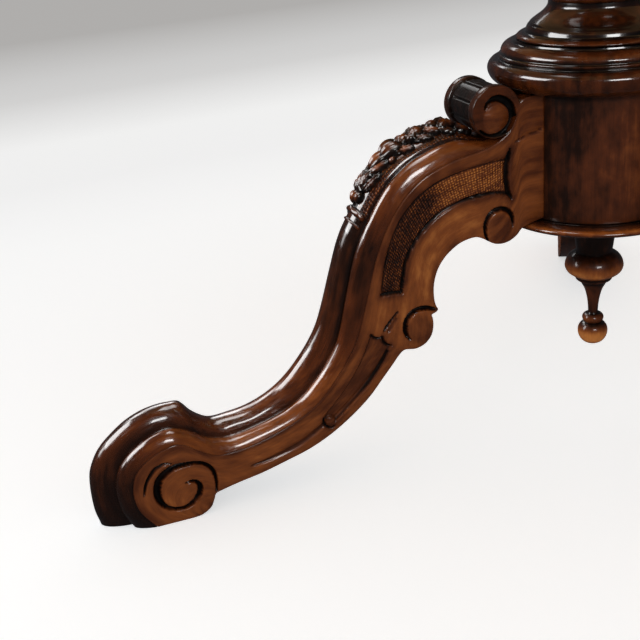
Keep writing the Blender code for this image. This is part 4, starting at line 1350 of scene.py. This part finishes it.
@dataclass(frozen=True)
class Sprig:
    """A carved form on the knee, and its mirror image if it lies off the middle line.

    Its length, width and height are in millimetres, and its heading is in degrees from the line of the leg.
    """

    form: CarvedForm
    station: float
    off: float
    size: Triple
    heading: float = 0.0

    def sides(self) -> tuple[Pair, ...]:
        """Offset and heading of the form, and of its mirror image."""
        pair = (-self.off, self.heading), (self.off, -self.heading)
        return pair if self.off else pair[1:]

    def mould(self, along: float, across: float, up: float) -> Vector:
        """Move one point of a ball to the carved form's place.

        Args:
            along: the point's place along the form, from -1 to 1.
            across: its place across it.
            up: its place out of the ground.

        Returns:
            The point in millimetres, in the form's own axes.
        """
        length, width, height = self.size
        rise = height * (up if up > 0.0 else 0.35 * up)
        wide = across
        if self.form is CarvedForm.LEAF:
            wide *= 1.0 + 0.26 * math.cos(11.0 * along)
            if up > 0.0:
                rise -= height * 0.48 * math.exp(-((across / 0.16) ** 2))
                rise += height * 0.20 * math.cos(15.0 * (along * 0.8 + abs(across)))
                rise += height * 0.25 * along * along
        elif self.form is CarvedForm.HUSK:
            turn = math.atan2(across, up + 0.2)
            if up > -0.2:
                rise *= 1.0 + 0.30 * math.cos(9.0 * turn)
                wide *= 1.0 + 0.10 * math.cos(9.0 * turn)
            wide *= 1.0 - 0.30 * along
        elif up > 0.0:
            rise -= height * 0.20 * math.exp(-((across / 0.12) ** 2)) * max(0.0, along)
        return Vector((0.5 * length * along, 0.5 * width * wide, rise))


@dataclass
class KneeTrail:
    """The carved trail down a knee. Each ring of the cuff that ends it has a station and a radius in millimetres."""

    sprigs: tuple[Sprig, ...] = (
        Sprig(CarvedForm.LEAF, 3.60, 4.0, (22, 11, 6.0), 10),
        Sprig(CarvedForm.LEAF, 3.95, 2.8, (24, 12, 9.0), -18),
        Sprig(CarvedForm.BUD, 4.30, 0.0, (16, 11, 9.5)),
        Sprig(CarvedForm.LEAF, 4.45, 5.0, (22, 9, 6.5), 30),
        Sprig(CarvedForm.LEAF, 4.80, 2.4, (22, 11, 9.0), -15),
        Sprig(CarvedForm.BUD, 5.05, 4.0, (12, 9, 8.0)),
        Sprig(CarvedForm.LEAF, 5.24, 0.0, (18, 12, 9.0)),
        Sprig(CarvedForm.HUSK, 5.70, 2.8, (26, 13, 9.5), 8),
        Sprig(CarvedForm.HUSK, 6.15, 0.0, (26, 14, 9.0)),
        Sprig(CarvedForm.LEAF, 6.35, 5.2, (26, 8, 6.0), 16),
        Sprig(CarvedForm.LEAF, 6.85, 2.8, (26, 10, 8.0), 6),
        Sprig(CarvedForm.BUD, 7.28, 4.2, (12, 9, 7.0)),
        Sprig(CarvedForm.HUSK, 7.30, 0.0, (14, 9, 6.5)),
        Sprig(CarvedForm.LEAF, 4.05, 8.2, (19, 9, 5.0), 34),
        Sprig(CarvedForm.LEAF, 4.75, 8.6, (20, 8, 5.0), 24),
        Sprig(CarvedForm.LEAF, 5.40, 8.4, (21, 9, 5.0), 28),
        Sprig(CarvedForm.BUD, 5.85, 8.8, (9, 7, 4.5)),
        Sprig(CarvedForm.LEAF, 6.75, 8.2, (24, 8, 5.0), 14),
    )
    cuffs: tuple[Pair, ...] = ((7.66, 3.4), (7.97, 1.4))
    cuff_reach: float = 14.6
    knob_at: float = 0.90
    knob_rise: float = 0.35
    knob_width: float = 0.07

    def shape(self, leg: ScrollLeg) -> bmesh.types.BMesh:
        """All the forms on one leg's knee, in millimetres along +X.

        Args:
            leg: the leg that they stand on.

        Returns:
            The forms as one shape, with their attributes.
        """
        work = bmesh.new()
        layers = {name: work.verts.layers.float.new(name) for name in ("tone", "gloss", "punch", "carved")}
        work.verts.layers.float_vector.new("grain")
        spots = [(sprig, *side) for sprig in self.sprigs for side in sprig.sides()]
        for number, (sprig, off, heading) in enumerate(spots):
            added = bmesh.ops.create_uvsphere(work, u_segments=24, v_segments=14, radius=1.0)["verts"]
            place = leg.frame(sprig.station, off) @ Matrix.Rotation(math.radians(heading), 4, "Z")
            pale = 0.80 + 0.24 * math.sin(2.4 * number)
            for vert in added:
                along, across, up = vert.co.z, vert.co.x, vert.co.y
                # Each form is paler towards its top and black below, as painted light and shade.
                vert[layers["tone"]] = pale * max(0.0, up - 0.20) ** 1.6
                vert[layers["gloss"]] = 0.75
                vert[layers["carved"]] = 1.0
                vert.co = place @ sprig.mould(along, across, up)
        for station, radius in self.cuffs:
            self.add_cuff(work, layers, leg, station, radius)
        return work

    def add_cuff(
        self,
        work: bmesh.types.BMesh,
        layers: dict[str, bmesh.types.BMLayerItem],
        leg: ScrollLeg,
        station: float,
        radius: float,
    ) -> None:
        """Add one rolled ring of the cuff across the knee, with a knob at each end.

        Args:
            work: the shape that it is added to.
            layers: the float attributes by name.
            leg: the leg that it lies on.
            station: where along the leg it lies.
            radius: the roll's radius in millimetres.
        """
        frames: dict[float, Matrix] = {}
        added = bmesh.ops.create_grid(work, x_segments=14, y_segments=56, size=1.0)["verts"]
        for vert in added:
            angle = math.pi * vert.co.x
            off = vert.co.y * self.cuff_reach
            end = abs(vert.co.y)
            past = end - self.knob_at
            knob = 1.0 + self.knob_rise * math.exp(-((past / self.knob_width) ** 2))
            thick = radius * knob * math.sqrt(max(0.0, 1.0 - max(0.0, past / (1.0 - self.knob_at)) ** 2))
            if off not in frames:
                frames[off] = leg.frame(station, off)
            twist = 1.0 + 0.10 * math.cos(3.0 * angle + 8.0 * vert.co.y)
            # The roll is paler towards its top and dark where it meets the leg, as painted light and shade.
            vert[layers["tone"]] = 0.10 + 0.32 * max(0.0, math.sin(angle)) ** 2
            vert[layers["gloss"]] = 0.7
            vert.co = frames[off] @ Vector((thick * twist * math.cos(angle), 0.0, thick * twist * math.sin(angle)))
        bmesh.ops.remove_doubles(work, verts=added, dist=1e-4)


# Turned pieces under and over the drum


@dataclass
class Pedestal:
    """Drum, disc, drop finial, collar and column, turned about the table's axis, in millimetres and tone."""

    steps: int = 160
    # In each profile the third value is the tone, which drops in the fillets and coves as painted shade.
    drum: Runs = (
        ((22.3, 343.0, 0.2), (78.6, 343.0, 0.12)),
        ((78.6, 343.0, 0.12), (79.6, 342.7, 0.2), (80.0, 341.8, 0.36)),
        ((80.0, 341.8, 0.36), (80.0, 305.0, 0.44), (80.0, 262.0, 0.46), (80.0, 225.6, 0.36)),
        ((80.0, 225.6, 0.36), (79.7, 224.5, 0.15), (78.8, 224.0, 0.05)),
        ((78.8, 224.0, 0.05), (22.3, 224.0, 0.2)),
    )
    disc: Runs = (
        ((12.3, 223.7, 0.2), (80.6, 223.7, 0.04)),
        # The rounded edge is paler, a painted highlight.
        (
            (80.6, 223.7, 0.04), (82.0, 223.1, 0.10), (86.0, 222.8, 0.30), (91.0, 222.3, 0.42),
            (94.4, 221.1, 0.66), (95.9, 219.2, 0.50), (95.5, 217.5, 0.30), (93.8, 216.4, 0.18),
        ),
        (
            (93.8, 216.4, 0.18), (93.2, 216.1, 0.05), (92.6, 215.6, 0.18), (90.4, 215.3, 0.25),
            (86.0, 215.2, 0.20),
        ),
        ((86.0, 215.2, 0.20), (12.3, 215.2, 0.25)),
    )
    finial: Runs = (
        ((0.0, 254.9, 0.3), (12.0, 254.9, 0.3)),
        ((12.0, 254.9, 0.3), (12.0, 214.9, 0.1)),
        ((12.0, 214.9, 0.1), (22.5, 214.9, 0.10)),
        ((22.5, 214.9, 0.10), (22.9, 211.5, 0.16), (22.2, 208.6, 0.16), (21.2, 207.2, 0.05)),
        (
            (21.2, 207.2, 0.05), (20.8, 200.0, 0.14), (20.2, 192.0, 0.16), (19.4, 184.0, 0.16),
            (18.5, 177.0, 0.14), (17.7, 171.5, 0.05), (17.8, 169.8, 0.03),
        ),
        (
            (17.8, 169.8, 0.03), (20.6, 168.6, 0.16), (24.6, 165.8, 0.24), (27.3, 161.8, 0.40),
            (28.7, 157.4, 0.62), (28.7, 153.6, 0.74), (26.6, 149.4, 0.76), (22.6, 146.2, 0.62),
            (19.6, 144.2, 0.36), (18.3, 143.4, 0.05),
        ),
        (
            (18.3, 143.4, 0.05), (18.1, 141.2, 0.30), (16.6, 139.6, 0.34), (14.4, 138.8, 0.16),
            (13.4, 138.0, 0.05),
        ),
        (
            (13.4, 138.0, 0.05), (11.8, 134.8, 0.28), (9.0, 129.4, 0.34), (7.0, 122.6, 0.36),
            (5.7, 115.2, 0.34), (5.1, 108.9, 0.32), (5.0, 104.2, 0.22), (5.8, 102.4, 0.06),
        ),
        (
            (5.8, 102.4, 0.06), (8.6, 101.6, 0.36), (10.5, 99.2, 0.50), (10.7, 96.8, 0.50), (9.6, 94.0, 0.34),
            (8.6, 93.0, 0.04),
        ),
        (
            (8.6, 93.0, 0.04), (11.7, 91.2, 0.26), (14.3, 87.4, 0.62), (15.0, 83.0, 0.92), (14.0, 77.6, 1.00),
            (10.8, 72.6, 0.90), (5.8, 69.6, 0.5), (0.0, 68.6, 0.4),
        ),
    )
    collar: Runs = (
        ((22.3, 383.8, 0.1), (78.6, 383.8, 0.04)),
        ((78.6, 383.8, 0.04), (79.0, 382.6, 0.10), (79.4, 381.9, 0.05)),
        (
            (79.4, 381.9, 0.05), (82.0, 381.5, 0.30), (85.6, 380.2, 0.36), (88.4, 378.0, 0.40),
            (90.0, 375.2, 0.34), (90.4, 373.0, 0.16),
        ),
        ((90.4, 373.0, 0.16), (90.4, 372.0, 0.03), (91.0, 371.2, 0.06)),
        ((91.0, 371.2, 0.06), (92.0, 370.6, 0.26), (92.2, 369.6, 0.28), (91.8, 368.6, 0.12)),
        ((91.8, 368.6, 0.12), (91.8, 367.0, 0.03), (93.0, 366.2, 0.06)),
        (
            (93.0, 366.2, 0.06), (96.2, 366.4, 0.22), (99.6, 365.0, 0.28), (102.1, 361.9, 0.30),
            (103.0, 358.2, 0.30), (102.3, 354.2, 0.30), (100.2, 350.3, 0.28), (96.8, 346.9, 0.24),
            (92.3, 344.5, 0.14), (87.0, 343.5, 0.05), (80.0, 343.3, 0.03),
        ),
        ((80.0, 343.3, 0.03), (22.3, 343.3, 0.1)),
    )
    column: Runs = (
        ((0.0, 701.3, 0.5), (25.0, 701.3, 0.5)),
        ((25.0, 701.3, 0.5), (25.0, 656.0, 0.3)),
        ((25.0, 656.0, 0.3), (62.0, 656.0, 0.1)),
        ((62.0, 656.0, 0.1), (62.4, 653.1, 0.36), (62.4, 647.2, 0.38), (62.0, 643.3, 0.20)),
        (
            (62.0, 643.3, 0.20), (60.6, 642.5, 0.04), (59.0, 641.8, 0.10), (55.0, 637.0, 0.30),
            (52.6, 632.2, 0.20), (52.0, 631.4, 0.05),
        ),
        ((52.0, 631.4, 0.05), (51.6, 626.8, 0.38), (49.8, 622.9, 0.28), (48.2, 622.1, 0.05)),
        (
            (48.2, 622.1, 0.05), (44.0, 615.1, 0.28), (38.5, 605.3, 0.36), (34.6, 594.6, 0.36),
            (33.2, 587.0, 0.20), (33.6, 585.4, 0.05),
        ),
        (
            (33.6, 585.4, 0.05), (38.6, 583.9, 0.30), (41.6, 580.5, 0.42), (42.2, 577.4, 0.42),
            (41.0, 574.1, 0.34), (36.6, 571.6, 0.12), (33.8, 571.0, 0.04),
        ),
        (
            (33.8, 571.0, 0.04), (31.2, 566.3, 0.30), (31.0, 558.1, 0.38), (34.6, 539.0, 0.42),
            (44.4, 517.4, 0.46), (56.4, 495.5, 0.48), (61.6, 480.5, 0.50), (62.4, 469.8, 0.48),
            (59.4, 457.1, 0.44), (52.0, 445.0, 0.38), (46.0, 436.5, 0.28), (43.0, 430.4, 0.10),
            (42.6, 429.2, 0.04),
        ),
        (
            (42.6, 429.2, 0.04), (47.8, 427.7, 0.28), (50.4, 424.4, 0.40), (50.6, 420.9, 0.40),
            (48.6, 417.7, 0.24), (46.2, 416.8, 0.05),
        ),
        (
            (46.2, 416.8, 0.05), (47.6, 411.3, 0.22), (52.4, 406.0, 0.28), (58.6, 401.6, 0.26),
            (62.6, 398.6, 0.12), (64.2, 396.6, 0.05),
        ),
        (
            (64.2, 396.6, 0.05), (65.4, 395.4, 0.20), (66.4, 393.4, 0.22), (67.0, 391.6, 0.10),
            (67.6, 390.2, 0.03), (68.8, 389.2, 0.06),
        ),
        (
            (68.8, 389.2, 0.06), (71.6, 388.7, 0.30), (74.2, 387.6, 0.42), (75.8, 386.0, 0.40),
            (75.6, 384.7, 0.14), (75.0, 384.1, 0.04),
        ),
        ((75.0, 384.1, 0.04), (22.0, 384.1, 0.1)),
        ((22.0, 384.1, 0.1), (22.0, 224.0, 0.3)),
        ((22.0, 224.0, 0.3), (12.3, 224.0, 0.3)),
        ((12.3, 224.0, 0.3), (12.3, 255.2, 0.3)),
        ((12.3, 255.2, 0.3), (0.0, 255.2, 0.3)),
    )

    def build(self) -> None:
        """Turn each piece and give it its share of polish."""
        for name, runs, node, closed, polish in (
            ("turned_drum", self.drum, "leg_drum", True, 0.25),
            ("moulded_disc", self.disc, "base_disc", True, 1.0),
            ("turned_finial", self.finial, "drop_finial", False, 0.40),
            ("moulded_collar", self.collar, "collar", True, 1.0),
            ("turned_column", self.column, "column", False, 1.0),
        ):
            work = turned(fine_runs(runs), self.steps, closed)
            gloss = work.verts.layers.float["gloss"]
            for vert in work.verts:
                vert[gloss] *= polish
            if node == "leg_drum":
                self.paint_shade_near_legs(work)
            piece(name, work, WALNUT, Body.BASE, [node], CREASE)

    def paint_shade_near_legs(self, work: bmesh.types.BMesh) -> None:
        """Darken the drum towards the legs as painted shade, and leave it paler between them.

        Args:
            work: the drum's shape.
        """
        tone = work.verts.layers.float["tone"]
        for vert in work.verts:
            between = 0.5 + 0.5 * math.cos(3.0 * (math.atan2(vert.co.y, vert.co.x) + 0.36 * math.pi))
            vert[tone] *= 0.55 + 0.50 * between


# Top


@dataclass
class Top:
    """Burr veneered field, crossband, line inlay and moulded edge of the top, in millimetres."""

    field_radius: float = 512.0
    line_width: float = 2.4
    band_radius: float = 573.7
    veneer_top: float = 730.0
    veneer_under: float = 728.5
    steps: int = 256
    # The moulding's third values are its tone, which drops in the fillets as painted shade.
    moulding: Runs = (
        ((574.0, 730.0, 0.30), (589.6, 730.0, 0.34)),
        (
            (589.6, 730.0, 0.34), (594.6, 728.6, 0.38), (598.4, 725.6, 0.40), (600.0, 721.4, 0.40),
            (599.6, 717.6, 0.36), (598.2, 715.4, 0.12),
        ),
        ((598.2, 715.4, 0.12), (597.4, 714.8, 0.04), (596.0, 714.2, 0.06)),
        (
            (596.0, 714.2, 0.06), (594.2, 713.0, 0.26), (592.2, 711.4, 0.30), (591.2, 709.4, 0.12),
            (590.8, 708.6, 0.04),
        ),
        (
            (590.8, 708.6, 0.04), (589.4, 704.6, 0.28), (586.6, 700.6, 0.30), (583.4, 697.4, 0.26),
            (582.6, 696.2, 0.10),
        ),
        ((582.6, 696.2, 0.10), (582.4, 694.8, 0.24), (581.2, 694.0, 0.22)),
        ((581.2, 694.0, 0.22), (574.0, 694.0, 0.30)),
    )

    def ring(self, inner: float, outer: float) -> bmesh.types.BMesh:
        """A flat ring of veneer between two radii.

        Args:
            inner: its inner radius, in millimetres.
            outer: its outer radius.

        Returns:
            The ring's shape.
        """
        low, high = self.veneer_under, self.veneer_top
        profile = np.array(((inner, low, 0.5), (inner, high, 0.5), (outer, high, 0.5), (outer, low, 0.5)))
        return turned(profile, self.steps, True)

    def radial_grain(self, work: bmesh.types.BMesh) -> None:
        """Lay the grain out from the middle, as on a crossband or a cross-grained moulding.

        Args:
            work: the shape to change.
        """
        grain = work.verts.layers.float_vector["grain"]
        for vert in work.verts:
            radius = math.hypot(vert.co.x, vert.co.y)
            vert[grain] = (radius, vert.co.x, vert.co.y)

    def build(self) -> None:
        """Make the veneers and the edge."""
        low, high, outer = self.veneer_under, self.veneer_top, self.field_radius
        outline = np.array(((0.0, low, 0.5), (outer, low, 0.5), (outer, high, 0.5), (0.0, high, 0.5)))
        work = turned(outline, self.steps)
        piece("burr_field", work, BURR, Body.TOP, ["top_veneer"], CREASE)
        line = self.ring(self.field_radius, self.field_radius + self.line_width)
        piece("line_inlay", line, BEECH, Body.TOP, (), CREASE)
        band = self.ring(self.field_radius + self.line_width, self.band_radius)
        self.radial_grain(band)
        piece("crossband", band, WALNUT, Body.TOP, (), CREASE)
        edge = turned(fine_runs(self.moulding), self.steps, True)
        self.radial_grain(edge)
        piece("moulded_edge", edge, WALNUT, Body.TOP, ["edge_moulding"], CREASE)


# CAD nodes that keep their shape


@dataclass
class Fittings:
    """The CAD nodes that stay: their edges are eased and they get their finishes."""

    frame: dict[str, object]
    finishes: tuple[tuple[str, Finish, float], ...] = (
        ("tilt_block", MAHOGANY, 1.5), ("bearer_", MAHOGANY, 1.5), ("top_core", PINE, 0.0),
        ("leg_dowel_", BEECH, 0.0), ("tenon_wedge", BEECH, 0.0), ("pivot_bolt_", STEEL, 0.0),
        ("pivot_washer_", BRASS, 0.0), ("keeper_plate", BRASS, 0.3), ("catch_plate", BRASS, 0.4),
        ("catch_bolt", BRASS, 0.6), ("catch_knob", BRASS, 0.0), ("catch_screw_", STEEL, 0.0),
        ("keeper_screw_", STEEL, 0.0), ("bearer_screw_", STEEL, 0.0), ("base_disc_screw_", STEEL, 0.0),
    )

    def dress(self) -> None:
        """Give each node that shows its finish, and ease the sharp edges of the sawn pieces."""
        for name, node in self.frame["nodes"].items():
            if node.hide_render:
                continue
            matches = [row for row in self.finishes if name.startswith(row[0])]
            _, finish, ease = max(matches, key=lambda row: len(row[0]))
            node.data.materials.clear()
            node.data.materials.append(finish.material())
            if ease > 0.0:
                weld = node.modifiers.new("Weld", "WELD")
                weld.merge_threshold = SEAM
                bevel = node.modifiers.new("Ease", "BEVEL")
                bevel.width = ease * MM
                bevel.segments = 2
                bevel.limit_method = "ANGLE"
                bevel.angle_limit = math.radians(CREASE)
            LOG.info("%s: CAD shape in %s", name, finish.name)


# Studio


@dataclass(frozen=True)
class Lamp:
    """A soft rectangular light: its place, aim and size in metres, its power in watts and its spread in degrees."""

    name: str
    place: Triple
    aim: Triple
    size: Pair
    power: float
    fills: bool = True
    shines: bool = True
    spread: float = 180.0

    def hang(self, unlit: bpy.types.Collection) -> None:
        """Hang the light; one that does not fill is only a sheen, and one that does not shine only fills.

        Args:
            unlit: what the light does not reach.
        """
        data = bpy.data.lights.new(self.name, "AREA")
        data.shape = "RECTANGLE"
        data.size, data.size_y = self.size
        data.energy = self.power
        data.spread = math.radians(self.spread)
        lamp = bpy.data.objects.new(self.name, data)
        lamp.location = self.place
        lamp.rotation_euler = (Vector(self.aim) - Vector(self.place)).to_track_quat("-Z", "Y").to_euler()
        lamp.visible_diffuse = self.fills
        lamp.visible_glossy = self.shines
        lamp.visible_camera = False
        lamp.light_linking.receiver_collection = unlit
        bpy.context.scene.collection.objects.link(lamp)


@dataclass
class Studio:
    """Floor, soft lights and the camera at the photograph's place."""

    image_side: float = 640.0
    focal_pixels: float = 1084.077
    distance: float = 1.05474
    height: float = 0.55925
    pitch: float = 0.407893
    yaw: float = 0.268928
    roll: float = -0.086439
    swing: float = math.radians(-2.628)
    surround: Colour = (0.55, 0.55, 0.55)
    mirrored: Colour = (0.05, 0.05, 0.055)
    lamps: tuple[Lamp, ...] = (
        Lamp("key_left", (-1.64, -0.56, 1.25), (-0.15, -0.05, 0.22), (1.10, 0.85), 42.0),
        Lamp("front_left", (-0.9, -2.0, 1.35), (-0.15, 0.0, 0.22), (0.60, 0.42), 16.0, True, False),
        Lamp("front", (0.70, -1.95, 1.33), (0.0, 0.0, 0.22), (0.75, 0.42), 20.0),
        Lamp("left_sheen", (-1.25, 0.38, 1.20), (-0.33, -0.2, 0.10), (0.90, 0.80), 1.0, False, True, 32.0),
        Lamp("low_left_sheen", (-1.70, -0.60, 0.62), (-0.36, -0.22, 0.08), (0.90, 0.50), 0.36, False, True, 26.0),
        Lamp("back_sheen", (-0.80, 0.80, 0.95), (-0.33, -0.2, 0.06), (0.95, 0.75), 0.9, False, True, 32.0),
        Lamp("knee_sheen", (-0.25, -0.18, 0.65), (-0.25, -0.16, 0.2), (0.26, 0.22), 0.22, False, True, 60.0),
    )

    def camera(self) -> None:
        """Set the camera from its place, yaw, pitch and roll, measured on the photograph."""
        sensor = 36.0
        data = bpy.data.cameras.new("photo_camera")
        data.sensor_width = sensor
        data.lens = sensor * self.focal_pixels / self.image_side
        data.clip_start = 0.01
        camera = bpy.data.objects.new("photo_camera", data)
        bpy.context.scene.collection.objects.link(camera)
        turn = Matrix.Rotation(self.swing, 3, "Z")
        flat = Vector((math.cos(self.yaw), math.sin(self.yaw), 0.0))
        ahead = Vector((-math.sin(self.yaw), math.cos(self.yaw), 0.0))
        forward = math.cos(self.pitch) * ahead - math.sin(self.pitch) * Vector((0.0, 0.0, 1.0))
        rise = flat.cross(forward)
        right = math.cos(self.roll) * flat + math.sin(self.roll) * rise
        up = math.cos(self.roll) * rise - math.sin(self.roll) * flat
        place = turn @ Vector((0.0, -self.distance, self.height))
        axes = Matrix((turn @ right, turn @ up, turn @ -forward)).transposed()
        camera.matrix_world = Matrix.Translation(place) @ axes.to_4x4()
        bpy.context.scene.camera = camera

    def light(self, ground: bpy.types.Object) -> None:
        """Hang the soft lights and set the pale surroundings, which alone light the floor.

        Args:
            ground: the floor.
        """
        unlit = bpy.data.collections.new("lit_by_surroundings")
        unlit.objects.link(ground)
        unlit.collection_objects[0].light_linking.link_state = "EXCLUDE"
        for lamp in self.lamps:
            lamp.hang(unlit)
        world = bpy.data.worlds.new("studio")
        world.use_nodes = True
        tree = world.node_tree
        pale = tree.nodes["Background"]
        pale.inputs["Color"].default_value = (*self.surround, 1.0)
        dim = tree.nodes.new("ShaderNodeBackground")
        dim.inputs["Color"].default_value = (*self.mirrored, 1.0)
        blend = tree.nodes.new("ShaderNodeMixShader")
        path = tree.nodes.new("ShaderNodeLightPath")
        tree.links.new(path.outputs["Is Glossy Ray"], blend.inputs[0])
        tree.links.new(pale.outputs[0], blend.inputs[1])
        tree.links.new(dim.outputs[0], blend.inputs[2])
        tree.links.new(blend.outputs[0], tree.nodes["World Output"].inputs["Surface"])
        bpy.context.scene.world = world
        bpy.context.scene.view_settings.view_transform = "Standard"

    def floor(self) -> bpy.types.Object:
        """Lay the floor.

        Returns:
            The floor's object.
        """
        work = bmesh.new()
        bmesh.ops.create_circle(work, cap_ends=True, segments=96, radius=9.0)
        mesh = bpy.data.meshes.new("studio_floor")
        work.to_mesh(mesh)
        work.free()
        mesh.materials.append(FLOOR.material())
        ground = bpy.data.objects.new("studio_floor", mesh)
        bpy.context.scene.collection.objects.link(ground)
        ground.visible_glossy = False
        return ground

    def build(self) -> None:
        """Set up camera, floor and lights."""
        self.camera()
        self.light(self.floor())


def main() -> None:
    """Build and dress the whole table."""
    logging.basicConfig(level=logging.INFO, format="%(name)s: %(message)s")
    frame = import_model()
    Studio().build()
    ScrollLeg().build()
    Pedestal().build()
    Top().build()
    Fittings(frame).dress()


if __name__ == "__main__":
    main()
